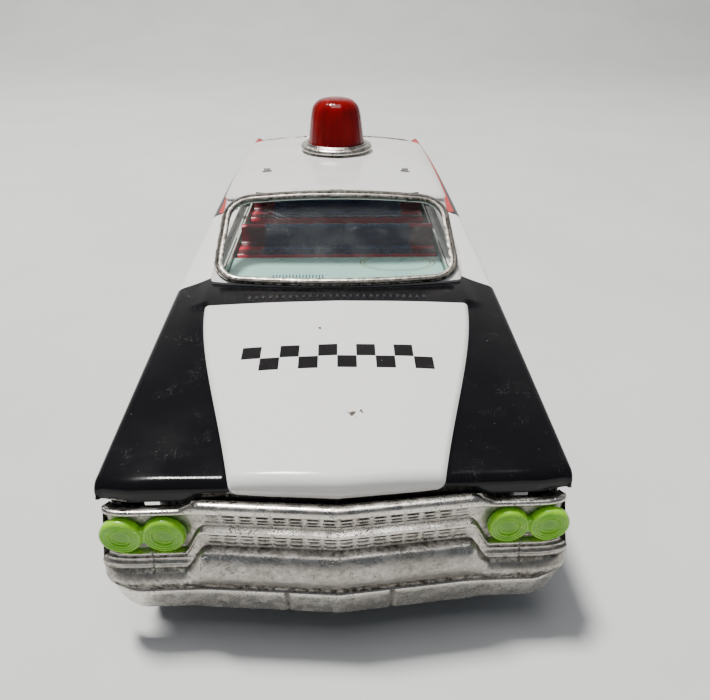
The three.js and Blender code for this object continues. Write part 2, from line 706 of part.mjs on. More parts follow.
function layshaft() {
  return join(
    bar(ARBOR_RADIUS, [MOTOR_RIGHT - 0.6, MOTOR_LEFT + 0.6], 0, 0, 12),
    pinion(AXLE_GEAR, LAY_ANGLE, [-11, -7]),
    gearWheel(LAY_GEAR.teeth, LAY_GEAR.module, FLY_ANGLE, [-5.4, -3.4]),
  );
}

function flywheel() {
  const disc = turnedAlongX([
    [0.4, 0], [0.4, FLYWHEEL_RADIUS - 0.6], [1, FLYWHEEL_RADIUS], [8.4, FLYWHEEL_RADIUS],
    [9, FLYWHEEL_RADIUS - 0.6], [9, 0],
  ], 28);
  return join(
    disc,
    bar(ARBOR_RADIUS, [MOTOR_RIGHT - 0.6, MOTOR_LEFT + 0.6], 0, 0, 12),
    pinion(LAY_GEAR, FLY_ANGLE, [-6.1, -2.7]),
  );
}

const MOTOR_PILLARS = [[37.2, 32.4], [78, 26.6], [58, 10.5]];

function motorPlate(x, footSide) {
  const outline = [
    [36, 14], [42, 9.4], [54, 8], [74, 8], [79.5, 13], [81, 26], [79, 29.4], [62, 35], [37, 35], [34.6, 32],
  ];
  const foot = [x[0], x[1]];
  foot[footSide > 0 ? 1 : 0] += footSide * 7;
  const feet = [[40, 46], [68, 74]].map((y) => {
    const outward = footSide > 0 ? [x[1] - 0.5, foot[1]] : [foot[0], x[0] + 0.5];
    return box(outward, y, [PLATE_TOP + GAP, PLATE_TOP + GAP + 0.9]);
  });
  const holes = [
    bar(AXLE_RADIUS + GAP + 0.05, [-20, 20], REAR_AXLE_Y, WHEEL_RADIUS),
    bar(ARBOR_RADIUS + GAP + 0.05, [-20, 20], layY, layZ),
    bar(ARBOR_RADIUS + GAP + 0.05, [-20, 20], flyY, flyZ),
    ...MOTOR_PILLARS.map(([y, z]) => bar(1 + GAP, [-20, 20], y, z, 12)),
  ];
  return cut(join(sidePrism(outline, x), ...feet), ...holes);
}

// A spacer between the motor plates with a riveted end outside each of them.
function motorPillar() {
  const [low, high] = [MOTOR_RIGHT, MOTOR_LEFT];
  return turnedAlongX([
    [low - 1.1, 0], [low - 1.1, 1.6], [low - GAP, 1.8], [low - GAP, 1], [low + MOTOR_PLATE + GAP, 1],
    [low + MOTOR_PLATE + GAP, 2], [high - MOTOR_PLATE - GAP, 2], [high - MOTOR_PLATE - GAP, 1],
    [high + GAP, 1], [high + GAP, 1.8], [high + 1.1, 1.6], [high + 1.1, 0],
  ], 10);
}

// ---- Beacon -------------------------------------------------------------------------------------

function beaconFlange() {
  const z = BEACON_FOOT;
  return turnedAlongZ([
    [3.4, z + 0.9], [3.4, z + 1.7], [11.4, z + 2], [12, z + 2.8], [13, z + 2.8], [14.3, z + 1.8],
    [14.5, z + 0.9],
    [13.9, z], [12.6, z + 0.9], [3.4, z + 0.9],
  ], 28);
}

function beaconDome() {
  const foot = BEACON_FOOT + 2.35;
  const top = BEACON_TOP;
  return turnedAlongZ([
    [10.9, foot], [9.1, top - 5], [8.3, top - 2.1], [6.4, top - 0.6], [0, top],
    [0, top - 1.2], [5.8, top - 1.9], [7.2, top - 3.1], [8, top - 5.3], [9.7, foot], [10.9, foot],
  ], 24);
}

function beaconEyelet() {
  const roof = roofHeight(0, BEACON_Y);
  return turnedAlongZ([
    [2.2, roof - 2.2], [4.6, roof - 2.2], [4.6, roof - TIN - GAP - 0.2], [3, roof - TIN - GAP - 0.2],
    [3, BEACON_FOOT + 2.2], [2.2, BEACON_FOOT + 2.2], [2.2, roof - 2.2],
  ], 12);
}

// ---- Assembly -----------------------------------------------------------------------------------

function wheelSet(name, y) {
  const set = new THREE.Group();
  set.position.set(0, y, WHEEL_RADIUS);
  set.add(piece(`${name}_axle`, axle(TYRE_INNER + 6), "steel"));
  for (const [label, side] of [["left", 1], ["right", -1]]) {
    const x = side * (TYRE_INNER + TYRE_WIDTH / 2);
    set.add(piece(`${name}_${label}_tyre`, tyre(), "rubber", [x, 0, 0]));
    set.add(piece(`${name}_${label}_wheel`, wheelHub(side), "chrome", [x, 0, 0]));
  }
  return set;
}

function bodyPieces() {
  const seatHalf = TUB_HALF - 1.3;
  return [
    piece("body_shell", bodyShell(), "black"),
    piece("roof_shell", roofShell(), "white"),
    piece("windshield_frame", windowFrame(-1, 2.5), "chrome"),
    piece("windshield_pane", endPane(-1), "clear"),
    piece("rear_window_frame", windowFrame(1, 2.5), "chrome"),
    piece("rear_window_pane", endPane(1), "clear"),
    piece("left_side_pane", sidePane(1), "clear"),
    piece("right_side_pane", sidePane(-1), "clear"),
    piece("roof_brace", roofBrace(), "steel"),
    piece("interior_tub", interiorTub(), "mint"),
    piece("front_seat", benchSeat(seatHalf), "seat", [0, -21.5, TUB_FLOOR + GAP]),
    piece("rear_seat", benchSeat(seatHalf), "seat", [0, 18.5, TUB_FLOOR + GAP]),
    piece("front_grille", frontGrille(), "chrome"),
    piece("left_headlamp_lens", lensPair(1), "green"),
    piece("right_headlamp_lens", lensPair(-1), "green"),
    piece("rear_bumper", rearBumper(), "chrome"),
    piece("left_tail_lamp", tailLamp(), "red", [44, REAR_END + GAP, 50.4]),
    piece("right_tail_lamp", tailLamp(), "red", [-44, REAR_END + GAP, 50.4]),
    piece("base_plate", basePlate(), "steel"),
    piece("front_axle_bracket", axleBracket(), "steel", [0, FRONT_AXLE_Y, 0]),
  ];
}

function motorPieces() {
  return [
    piece("motor_left_plate", motorPlate([MOTOR_LEFT - MOTOR_PLATE, MOTOR_LEFT], 1), "steel"),
    piece("motor_right_plate", motorPlate([MOTOR_RIGHT, MOTOR_RIGHT + MOTOR_PLATE], -1), "steel"),
    piece("axle_gear", axleGear(), "brass", [0, REAR_AXLE_Y, WHEEL_RADIUS]),
    piece("layshaft_gear", layshaft(), "brass", [0, layY, layZ]),
    piece("flywheel", flywheel(), "steel", [0, flyY, flyZ]),
    ...MOTOR_PILLARS.map(([y, z], i) => piece(`motor_pillar_${i + 1}`, motorPillar(), "steel", [0, y, z])),
  ];
}

function beaconPieces() {
  const beacon = new THREE.Group();
  beacon.position.set(0, BEACON_Y, 0);
  beacon.add(
    piece("beacon_flange", beaconFlange(), "chrome"),
    piece("beacon_dome", beaconDome(), "red"),
    piece("beacon_eyelet", beaconEyelet(), "steel"),
  );
  return beacon;
}

const car = new THREE.Group();
car.add(...bodyPieces(), ...motorPieces(), beaconPieces());
car.add(wheelSet("front", FRONT_AXLE_Y), wheelSet("rear", REAR_AXLE_Y));

export default car;
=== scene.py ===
"""The looks of a tin toy police saloon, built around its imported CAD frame.

Shapes are worked out in millimetres, with +Z up and the car facing -Y. Meshes are scaled to metres as made.
"""

import functools
import math

import bpy
import bmesh
from mathutils import Matrix, Vector


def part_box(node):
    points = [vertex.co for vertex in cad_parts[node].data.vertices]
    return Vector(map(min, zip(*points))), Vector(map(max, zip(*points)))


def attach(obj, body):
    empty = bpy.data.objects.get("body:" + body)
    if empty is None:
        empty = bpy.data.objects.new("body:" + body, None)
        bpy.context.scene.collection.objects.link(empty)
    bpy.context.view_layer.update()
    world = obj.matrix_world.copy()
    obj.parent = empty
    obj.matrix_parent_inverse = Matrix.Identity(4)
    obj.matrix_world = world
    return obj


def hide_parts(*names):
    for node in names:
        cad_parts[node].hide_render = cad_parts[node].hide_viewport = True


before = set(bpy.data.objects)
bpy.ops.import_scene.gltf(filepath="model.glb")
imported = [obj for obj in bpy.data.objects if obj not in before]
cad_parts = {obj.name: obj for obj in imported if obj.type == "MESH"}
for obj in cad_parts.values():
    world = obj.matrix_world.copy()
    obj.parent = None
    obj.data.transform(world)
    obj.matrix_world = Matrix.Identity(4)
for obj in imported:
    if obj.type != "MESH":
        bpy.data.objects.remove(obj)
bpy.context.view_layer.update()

MM = 0.001
BODY = "car_body"
scene = bpy.context.scene


def millimetres(node):
    """The lowest and highest corner of a CAD node, in millimetres."""
    low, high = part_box(node)
    return low / MM, high / MM


# ---- Driving sizes ----

roof_low, roof_high = millimetres("roof_shell")
dome_low, dome_high = millimetres("beacon_dome")
WHEELS = {"front": "front_wheels", "rear": "rear_wheels"}

SHEET = 0.5  # thickness shown at the cut edges of the pressings
SHELL_BOTTOM = 11
LIP = -132  # where the hood turns down to the grille
LIP_BOTTOM = 39.7
FRONT_OPENING = -127
TOP_FRONT = -128  # the top's straight run, between its rolled ends
TOP_REAR = 136
PANEL_REAR = -62.7  # rear end of the raised hood panel
PANEL_STEP = 1.1
ARCH_RADIUS = 20.5
REAR_ARCH_TOP = 31

CABIN_FRONT = roof_low.y
CABIN_REAR = roof_high.y
CABIN_HALF = roof_high.x
CABIN_FOOT = roof_low.z
CABIN_BOW = 4.8  # how far the ends of the windshield's and rear window's feet are bent back
ROOF_FRONT = -24.2
ROOF_REAR = 59
ROOF_HALF = 37.6
ROOF_CROWN = roof_high.z
ROOF_BOW = 0.5
FACE_HALF = 39  # half width and length up the slope of the faces that hold the end windows
FACE_RISE = 37
DASH_FRONT = -50.5
DASH_REAR = -24
DASH_HALF = 36.6
LOUVRES = 27
LOUVRE_PITCH = 2.05
LOUVRE_Y = -60.3

CHEQUER = 5.08  # side of one square in the strip on the hood
CHEQUER_ROW = -19  # the strip's front edge, in squares from Y = 0
DOOR_SEAMS = (-46.5, 14.8, 44.0)
HOOD_SCUFFS = [(3.5, -113.8, 1.5), (-4.8, -78.5, 1.0), (5.6, -112.9, 0.8)]  # (x, y, radius)
SEAT_END = 27.5  # half width of the seats' blue middle


# ---- Curves ----


def lerp(a, b, t):
    return a + (b - a) * t


def smooth(x, low, high):
    t = min(1.0, max(0.0, (x - low) / (high - low)))
    return t * t * (3 - 2 * t)


def hump(x, low, high, fall, foot):
    """1 between high and fall, sinking smoothly to 0 at low and at foot."""
    return smooth(x, low, high) * (1 - smooth(x, fall, foot))


def through(knots):
    """A smooth curve through (y, value) knots, held level beyond its ends."""

    def slope(k):
        a, b = knots[max(k - 1, 0)], knots[min(k + 1, len(knots) - 1)]
        return (b[1] - a[1]) / (b[0] - a[0])

    def value(y):
        if y <= knots[0][0]:
            return knots[0][1]
        if y >= knots[-1][0]:
            return knots[-1][1]
        i = next(k for k, knot in enumerate(knots) if knot[0] > y) - 1
        (y0, v0), (y1, v1) = knots[i], knots[i + 1]
        t = (y - y0) / (y1 - y0)
        bend = slope(i) * (1 - t) - slope(i + 1) * t
        return lerp(v0, v1, t * t * (3 - 2 * t)) + (y1 - y0) * t * (1 - t) * bend

    return value


edge_half = through([(-133, 52.3), (-50, 51.4), (16, 51.9), (90, 50.2), (140, 46.6)])
edge_height = through([(-133, 43.5), (-50, 50.1), (16, 51.3), (140, 57.4)])
middle_height = through([(-132, 46.6), (-100, 49.9), (-62, 52.6), (80, 52.4), (112, 51.8), (138, 49.6)])
panel_half = through([(-132, 23), (PANEL_REAR, 39.7), (60, 39.7), (138, 36)])
panel_height = through([(-132, 45.4), (PANEL_REAR, 51.4), (-50, 52), (80, 52), (112, 51), (138, 49)])
crease_half = through([(-132, 41.6), (-58, 44.1), (16, 46), (138, 42.5)])
crease_rise = through([(-132, 1), (-58, 0.9), (16, 0.6), (138, -1.6)])


def front_sweep(x):
    """How far the front edge stands ahead of, or behind, the lip line: a shallow V with turned-back tips."""
    return -2.2 * max(0, 1 - abs(x) / 26) + 1.4 * smooth(abs(x), 44, 51)


def filleted(corners, steps=3):
    """(x, z, radius) corners as a polyline, each corner with a radius as a short curve."""
    line = [corners[0][:2]]
    for before, corner, after in zip(corners, corners[1:], corners[2:]):
        here = Vector(corner[:2])
        legs = [Vector(other[:2]) - here for other in (before, after)]
        reach = min(corner[2], 0.45 * legs[0].length, 0.45 * legs[1].length)
        start, end = (here + leg.normalized() * reach for leg in legs)
        for k in range(steps + 1):
            t = k / steps
            line.append(tuple(start * (1 - t) ** 2 + here * 2 * t * (1 - t) + end * t * t))
    line.append(corners[-1][:2])
    return line


# ---- Meshes ----


def grid_faces(rows, columns, start=0, wrap=False):
    """Quads between rows of points, whose numbers run on from start."""
    faces = []
    for i in range(rows - 1):
        for j in range(columns if wrap else columns - 1):
            k = (j + 1) % columns
            here = start + i * columns
            faces.append((here + j, here + k, here + columns + k, here + columns + j))
    return faces


def raw_object(name, points, faces):
    mesh = bpy.data.meshes.new(name)
    mesh.from_pydata([[c * MM for c in p] for p in points], [], faces)
    made = bpy.data.objects.new(name, mesh)
    scene.collection.objects.link(made)
    return made


def clean(obj, outward_from=None):
    """Merges double points and turns the faces outward. An open skin faces away from the given point."""
    form = bmesh.new()
    form.from_mesh(obj.data)
    bmesh.ops.remove_doubles(form, verts=form.verts, dist=0.00002)
    bmesh.ops.dissolve_degenerate(form, edges=form.edges, dist=0.00001)
    bmesh.ops.recalc_face_normals(form, faces=form.faces)
    if outward_from is not None:
        centre = Vector(outward_from) * MM
        facing = sum(f.normal.dot(f.calc_center_median() - centre) * f.calc_area() for f in form.faces)
        if facing < 0:
            bmesh.ops.reverse_faces(form, faces=form.faces)
    form.to_mesh(obj.data)
    form.free()
    return obj


def settle(obj):
    """Replaces the mesh with what its modifiers make of it."""
    graph = bpy.context.evaluated_depsgraph_get()
    made = bpy.data.meshes.new_from_object(obj.evaluated_get(graph))
    obj.modifiers.clear()
    obj.data = made
    return obj


def thicken(obj):
    """Gives a skin its sheet thickness, inward."""
    wall = obj.modifiers.new("wall", "SOLIDIFY")
    wall.thickness = SHEET * MM
    wall.offset = -1
    return settle(obj)


def carve(obj, *cutters):
    """Cuts the closed cutters out of a piece and removes them."""
    for cutter in cutters:
        clean(cutter)
        cut = obj.modifiers.new("cut", "BOOLEAN")
        cut.operation = "DIFFERENCE"
        cut.solver = "EXACT"
        cut.object = cutter
    settle(obj)
    for cutter in cutters:
        bpy.data.objects.remove(cutter)
    return obj


def loft(name, rings, caps=True):
    """A closed skin over rings of equal length, with an n-gon at each end."""
    columns = len(rings[0])
    points = [p for ring in rings for p in ring]
    faces = grid_faces(len(rings), columns, wrap=True)
    if caps:
        faces.append(tuple(range(columns)))
        faces.append(tuple(range(len(points) - columns, len(points))))
    return raw_object(name, points, faces)


def prism(name, outline, low, high):
    """A closed (x, y) outline pushed up from one height to another."""
    return loft(name, [[(x, y, z) for x, y in outline] for z in (low, high)])


def side_prism(name, outline, low, high):
    """A closed (y, z) outline pushed along X from one side to the other."""
    return loft(name, [[(x, y, z) for y, z in outline] for x in (low, high)])


def block(name, low, high):
    outline = [(low[0], low[1]), (high[0], low[1]), (high[0], high[1]), (low[0], high[1])]
    return prism(name, outline, low[2], high[2])


AXES = {
    "X": lambda along, c, s: (along, c, s),
    "Y": lambda along, c, s: (c, -along, s),
    "Z": lambda along, c, s: (c, s, along),
}


def turned(name, centre, axis, profile, steps=64, closed=False, waves=0, wave_height=0.0):
    """A turned piece: (radius, along) profile points, ribbed by waves round it if asked for."""
    rings = []
    for radius, along in profile:
        ring = []
        for k in range(steps):
            turn = 2 * math.pi * k / steps
            r = max(radius, 0.001) + wave_height * math.cos(waves * turn) * min(1, radius / 8)
            offset = AXES[axis](along, r * math.cos(turn), r * math.sin(turn))
            ring.append(tuple(a + b for a, b in zip(centre, offset)))
        rings.append(ring)
    if closed:
        rings.append(rings[0])
    return clean(loft(name, rings, caps=not closed))


def curved(profile, steps=3):
    """A (radius, along) profile whose third value rounds each corner."""
    return filleted([p if len(p) == 3 else (*p, 0) for p in profile], steps)


def finished(obj, look, replaces=(), body=BODY, angle=35):
    """Every visible piece ends here: shading, material, body, slot and the CAD nodes it stands for."""
    obj.data.shade_smooth()
    obj.data.set_sharp_from_angle(angle=math.radians(angle))
    obj.data.materials.clear()
    obj.data.materials.append(look)
    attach(obj, body)
    if replaces:
        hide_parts(*replaces)
    return obj


def store(obj, name, values):
    """Stores a value at each vertex, for the material to read."""
    layer = obj.data.attributes.new(name, "FLOAT", "POINT")
    for place, value in zip(layer.data, values):
        place.value = value


def paint_mask(obj, name, value):
    """Stores value(x, y, z), in millimetres, at each vertex."""
    store(obj, name, [value(*(vertex.co / MM)) for vertex in obj.data.vertices])


# ---- Materials ----


class Look:
    """A procedural material. Its methods add nodes and give back the socket that holds the result."""

    def __init__(self, name, **settings):
        self.material = bpy.data.materials.new(name)
        self.material.use_nodes = True
        self.tree = self.material.node_tree
        self.shader = self.tree.nodes["Principled BSDF"]
        self.place = self.node("ShaderNodeTexCoord").outputs["Object"]
        for socket, value in settings.items():
            self.shader.inputs[socket.replace("_", " ")].default_value = value

    def node(self, kind, **settings):
        made = self.tree.nodes.new(kind)
        for key, value in settings.items():
            setattr(made, key, value)
        return made

    def feed(self, socket, value):
        if isinstance(value, bpy.types.NodeSocket):
            self.tree.links.new(value, socket)
        else:
            socket.default_value = value

    def set(self, socket, value):
        self.feed(self.shader.inputs[socket], value)

    def gloss(self, size, detail, low, high):
        """Roughness that wanders between two values over patches of a size in millimetres."""
        self.set("Roughness", self.ramp(self.noise(size, detail), 0.3, 0.7, low, high))

    def scatter(self, weight, reach, colour):
        """Light carried under the surface, over a reach in millimetres."""
        self.set("Subsurface Weight", weight)
        self.set("Subsurface Scale", reach * MM)
        self.set("Subsurface Radius", colour)

    def stretched(self, scale, turn=0.0):
        mapping = self.node("ShaderNodeMapping")
        mapping.inputs["Scale"].default_value = scale
        mapping.inputs["Rotation"].default_value = (0, 0, turn)
        self.feed(mapping.inputs["Vector"], self.place)
        return mapping.outputs["Vector"]

    def noise(self, size, detail=3.0, roughness=0.55, vector=None):
        """Noise whose features are about size millimetres across."""
        made = self.node("ShaderNodeTexNoise")
        self.feed(made.inputs["Vector"], vector or self.place)
        made.inputs["Scale"].default_value = 1 / (size * MM)
        made.inputs["Detail"].default_value = detail
        made.inputs["Roughness"].default_value = roughness
        return made.outputs["Fac"]

    def specks(self, size, radius, share):
        """1 inside scattered dots: one cell of size millimetres in so many holds a dot."""
        cells = self.node("ShaderNodeTexVoronoi", feature="F1")
        self.feed(cells.inputs["Vector"], self.place)
        cells.inputs["Scale"].default_value = 1 / (size * MM)
        chosen = self.node("ShaderNodeSeparateColor")
        self.feed(chosen.inputs["Color"], cells.outputs["Color"])
        dot = self.ramp(cells.outputs["Distance"], radius / size, 0.6 * radius / size)
        return self.times(dot, self.ramp(chosen.outputs["Red"], 1 - share, 1.02 - share))

    def scratches(self, size, stretch, turn, width=0.006):
        """Thin lines where stretched noise passes its middle value."""
        lines = self.noise(size, 1.0, 0.4, self.stretched(stretch, turn))
        near = self.math("ABSOLUTE", self.math("SUBTRACT", lines, 0.5))
        return self.times(self.ramp(near, width, 0.0), self.ramp(self.noise(9), 0.52, 0.66))

    def ramp(self, value, low, high, to_low=0.0, to_high=1.0):
        """Value mapped smoothly from low..high to to_low..to_high; low may be above high."""
        if low > high:
            low, high, to_low, to_high = high, low, to_high, to_low
        made = self.node("ShaderNodeMapRange", interpolation_type="SMOOTHSTEP")
        sockets = ("Value", "From Min", "From Max", "To Min", "To Max")
        for socket, given in zip(sockets, (value, low, high, to_low, to_high)):
            self.feed(made.inputs[socket], given)
        return made.outputs["Result"]

    def math(self, operation, a, b=0.0):
        made = self.node("ShaderNodeMath", operation=operation)
        self.feed(made.inputs[0], a)
        self.feed(made.inputs[1], b)
        return made.outputs[0]

    def times(self, a, b):
        return self.math("MULTIPLY", a, b)

    def mix(self, share, a, b):
        made = self.node("ShaderNodeMix", data_type="RGBA")
        for socket, value in ((0, share), (6, a), (7, b)):
            if isinstance(value, tuple):
                value = (*value[:3], 1.0)
            self.feed(made.inputs[socket], value)
        return made.outputs[2]

    def stored(self, name):
        return self.node("ShaderNodeAttribute", attribute_name=name).outputs["Fac"]

    def mask(self, name, edge=0.06):
        """The stored distance of that name, in millimetres, as a crisp mask: 1 where it is positive."""
        return self.ramp(self.stored(name), -edge, edge)

    def axes(self):
        """The place along X, Y and Z, in millimetres."""
        parts = self.node("ShaderNodeSeparateXYZ")
        self.feed(parts.inputs[0], self.place)
        return [self.times(parts.outputs[i], 1 / MM) for i in range(3)]

    def between(self, value, low, high, edge=0.05):
        """1 where the value lies from low to high."""
        return self.both(self.ramp(value, low - edge, low + edge), self.ramp(value, high + edge, high - edge))

    def both(self, *masks):
        return functools.reduce(functools.partial(self.math, "MULTIPLY"), masks)

    def either(self, *masks):
        return functools.reduce(functools.partial(self.math, "MAXIMUM"), masks)

    def distance(self, a, b, centre, radii):
        """Distance of the place (a, b) from a centre, in units of the radius along each."""
        squares = []
        for value, middle, radius in zip((a, b), centre, radii):
            share = self.times(self.math("SUBTRACT", value, middle), 1 / radius)
            squares.append(self.math("POWER", share, 2))
        return self.math("SQRT", self.math("ADD", *squares))

    def bump(self, height, depth, normal=None):
        """A bump whose height runs over depth millimetres."""
        made = self.node("ShaderNodeBump")
        made.inputs["Distance"].default_value = depth * MM
        self.feed(made.inputs["Height"], height)
        if normal:
            self.feed(made.inputs["Normal"], normal)
        self.set("Normal", made.outputs["Normal"])
        return made.outputs["Normal"]


BLACK = (0.0045, 0.0042, 0.0052)
WHITE = (0.735, 0.733, 0.72)
WARM_WHITE = (0.70, 0.685, 0.66)
RED = (0.42, 0.035, 0.032)
SLATE = (0.045, 0.042, 0.045)
DUST = (0.42, 0.41, 0.39)
SCUFF = (0.45, 0.44, 0.42)
TIN_BRIGHT = (0.74, 0.70, 0.64)
TIN_SOFT = (0.62, 0.58, 0.52)
TIN_DULL = (0.31, 0.28, 0.24)
# Dark of the plating's pits, also used for its painted shade
PIT_AND_SHADE_DARK = (0.035, 0.028, 0.022)
GRIME_PALE = (0.10, 0.085, 0.07)
RUST = (0.13, 0.085, 0.05)
MINT = (0.29, 0.51, 0.45)
MINT_PALE = (0.33, 0.56, 0.49)
MINT_DARK = (0.04, 0.09, 0.09)
CRIMSON = (0.52, 0.016, 0.045)
CRIMSON_DARK = (0.10, 0.006, 0.012)
NAVY = (0.018, 0.024, 0.085)
NAVY_DARK = (0.008, 0.01, 0.03)
NAVY_BAND = (0.085, 0.12, 0.25)
PALE_PRINT = (0.42, 0.47, 0.40)
OLIVE = (0.16, 0.17, 0.05)
INK = (0.012, 0.011, 0.012)
SEAM = (0.02, 0.018, 0.018)
TYRE_BLACK = (0.012, 0.012, 0.013)
TYRE_DUSTY = (0.05, 0.048, 0.045)
PANE_TINT = (0.75, 0.80, 0.80)
PANE_DUST = (0.8, 0.8, 0.78)
LENS_GREEN = (0.25, 0.60, 0.010)
LENS_PALE = (0.42, 0.84, 0.03)
# Painted shade in the lens's rings and cupped middles
LENS_SHADE = (0.09, 0.32, 0.01)
LENS_PIT = (0.05, 0.16, 0.02)
# Colour of the lens's faint painted glow
LENS_PAINTED_GLOW = (0.25, 0.9, 0.02)
DOME_RED = (0.24, 0.0015, 0.0025)
DOME_DARK = (0.16, 0.0008, 0.0012)
STEEL_GREY = (0.52, 0.51, 0.50)
BRASS_YELLOW = (0.66, 0.48, 0.19)
PLAIN_TIN = (0.60, 0.58, 0.55)
FLOOR_DARK = (0.575, 0.58, 0.575)
FLOOR_LIGHT = (0.615, 0.615, 0.61)


def enamel_surface(look, colour, rough=0.11):
    """Printed tin: dust, hairline scuffs, a few chips down to the tin and a slightly uneven gloss."""
    dust = look.both(look.specks(1.7, 0.13, 0.22), look.ramp(look.noise(12), 0.42, 0.62))
    fine = look.either(look.specks(0.9, 0.06, 0.12), dust)
    chips = look.both(look.specks(5, 0.34, 0.05), look.ramp(look.noise(1.1, 4), 0.4, 0.55))
    hair = look.either(look.scratches(7, (1, 9, 1), 0.4), look.scratches(6, (8, 1, 1), -0.3))
    colour = look.mix(look.times(fine, 0.5), colour, DUST)
    colour = look.mix(look.times(hair, 0.09), colour, SCUFF)
    look.set("Base Color", look.mix(chips, colour, TIN_DULL))
    haze = look.ramp(look.noise(16, 4), 0.3, 0.75, rough, rough + 0.12)
    look.set("Roughness", look.math("ADD", haze, look.times(look.either(hair, fine), 0.3)))
    ripple = look.bump(look.noise(7, 2), 0.05)
    look.bump(look.math("SUBTRACT", look.noise(0.5, 2), chips), 0.012, ripple)


def body_paint():
    look = Look("body_paint", IOR=1.33)
    x, y, z = look.axes()
    colour = BLACK
    for name, paint in (("white", WHITE), ("red", RED), ("slate", SLATE)):
        colour = look.mix(look.mask(name), colour, paint)
    on_top = look.ramp(z, 40, 41)
    squares = look.node("ShaderNodeTexChecker")
    squares.inputs["Scale"].default_value = 1 / (CHEQUER * MM)
    look.feed(squares.inputs["Vector"], look.stretched((1, 1, 0)))
    squares.inputs["Color1"].default_value = (1, 1, 1, 1)
    squares.inputs["Color2"].default_value = (0, 0, 0, 1)
    strip = look.both(
        look.between(x, -5 * CHEQUER, 5 * CHEQUER),
        look.between(y, CHEQUER_ROW * CHEQUER, (CHEQUER_ROW + 2) * CHEQUER),
        on_top,
        squares.outputs["Fac"],
    )
    colour = look.mix(strip, colour, INK)
    for place_x, place_y, radius in HOOD_SCUFFS:
        away = look.math("POWER", look.distance(x, y, (place_x, place_y), (radius, radius)), 2)
        ragged = look.times(away, look.ramp(look.noise(0.9, 4), 0.3, 0.7, 0.3, 6.0))
        colour = look.mix(look.both(look.ramp(ragged, 1, 0.5), on_top), colour, GRIME_PALE)
    out = look.math("ABSOLUTE", x)
    side = look.both(look.ramp(out, 45.6, 46.0), look.ramp(z, 14.4, 14.8), look.ramp(z, 49.2, 48.9))
    seams = look.either(*(look.between(y, place - 0.18, place + 0.18, 0.06) for place in DOOR_SEAMS))
    colour = look.mix(look.both(side, seams), colour, SEAM)
    enamel_surface(look, colour)
    return look.material


def white_enamel():
    look = Look("white_enamel", Coat_Weight=0.3, Coat_Roughness=0.08)
    tone = look.mix(look.ramp(look.noise(30, 3), 0.35, 0.7), WARM_WHITE, WHITE)
    enamel_surface(look, tone, rough=0.16)
    return look.material


def black_enamel():
    look = Look("black_enamel", Coat_Weight=0.3, Coat_Roughness=0.08)
    enamel_surface(look, look.mix(look.noise(6), BLACK, SLATE))
    return look.material


def worn_chrome(name, with_painted_shade=False):
    """Plated tin, bright in places and dull and pitted elsewhere. A piece given painted shade has it stored
    at its vertices; broken into patches, it darkens the plating in recesses and under rolls, with some real
    grime.
    """
    look = Look(name, Metallic=1.0)
    patches = look.ramp(look.noise(9, 5, 0.62), 0.42, 0.62)
    fine = look.ramp(look.noise(0.9, 5, 0.7), 0.50, 0.66)
    pit = look.both(look.ramp(look.noise(0.45, 3, 0.6), 0.56, 0.64), look.ramp(look.noise(5, 4), 0.40, 0.62))
    pit = look.either(pit, look.specks(1.1, 0.16, 0.2))
    colour = look.mix(patches, TIN_BRIGHT, TIN_SOFT)
    colour = look.mix(look.times(fine, 0.6), colour, TIN_DULL)
    dark = look.times(pit, 0.75)
    # Painted shade: the stored value, broken into patches by noise, darkens the plating along with the pits.
    if with_painted_shade:
        shade_breakup = look.ramp(look.noise(1.4, 5, 0.7), 0.3, 0.7, 0.5, 1.1)
        dark = look.either(dark, look.times(look.stored("shade_and_grime"), shade_breakup))
    dark = look.math("MINIMUM", dark, 1.0)
    look.set("Base Color", look.mix(dark, colour, PIT_AND_SHADE_DARK))
    rough = look.ramp(look.noise(3, 4, 0.6), 0.3, 0.7, 0.17, 0.38)
    look.set("Roughness", look.math("ADD", rough, look.times(dark, 0.35)))
    wave = look.bump(look.noise(6, 3), 0.10)
    look.bump(look.math("SUBTRACT", look.noise(0.7, 3, 0.6), look.times(pit, 0.8)), 0.045, wave)
    return look.material


def bare_metal(name, colour, rough=0.34, streak=(1, 14, 1)):
    look = Look(name, Metallic=1.0)
    grain = look.noise(0.8, 3, 0.6, look.stretched(streak))
    stain = look.ramp(look.noise(12, 5, 0.6), 0.45, 0.7)
    tone = look.mix(look.times(grain, 0.5), colour, tuple(c * 0.55 for c in colour))
    spots = look.either(stain, look.specks(2.3, 0.3, 0.15))
    look.set("Base Color", look.mix(look.times(spots, 0.45), tone, RUST))
    look.set("Roughness", look.ramp(grain, 0.3, 0.7, rough, rough + 0.18))
    look.bump(grain, 0.02)
    return look.material


def rubber():
    look = Look("rubber", Metallic=0.0)
    dusty = look.ramp(look.noise(8, 4), 0.4, 0.72)
    look.set("Base Color", look.mix(dusty, TYRE_BLACK, TYRE_DUSTY))
    look.gloss(2.5, 4, 0.55, 0.8)
    look.bump(look.noise(0.4, 3), 0.03)
    return look.material


def clear_sheet():
    """Thin clear plastic: nearly invisible, with dust, hairlines and a faint haze that catch the light."""
    look = Look("clear_sheet", IOR=1.3)
    dust = look.either(look.specks(1.3, 0.10, 0.3), look.specks(3.1, 0.22, 0.14))
    hair = look.either(
        look.scratches(8, (1, 7, 4), 0.7),
        look.scratches(8, (9, 1, 3), 0.2),
        look.scratches(5, (5, 1, 6), -0.6),
    )
    smear = look.ramp(look.noise(14, 3), 0.4, 0.75, 0.012, 0.03)
    seen = look.math("MAXIMUM", smear, look.times(look.either(dust, hair), 0.16))
    look.set("Alpha", seen)
    look.set("Base Color", look.mix(dust, PANE_TINT, PANE_DUST))
    look.gloss(6, 3, 0.05, 0.16)
    look.bump(look.noise(9, 2), 0.03)
    return look.material


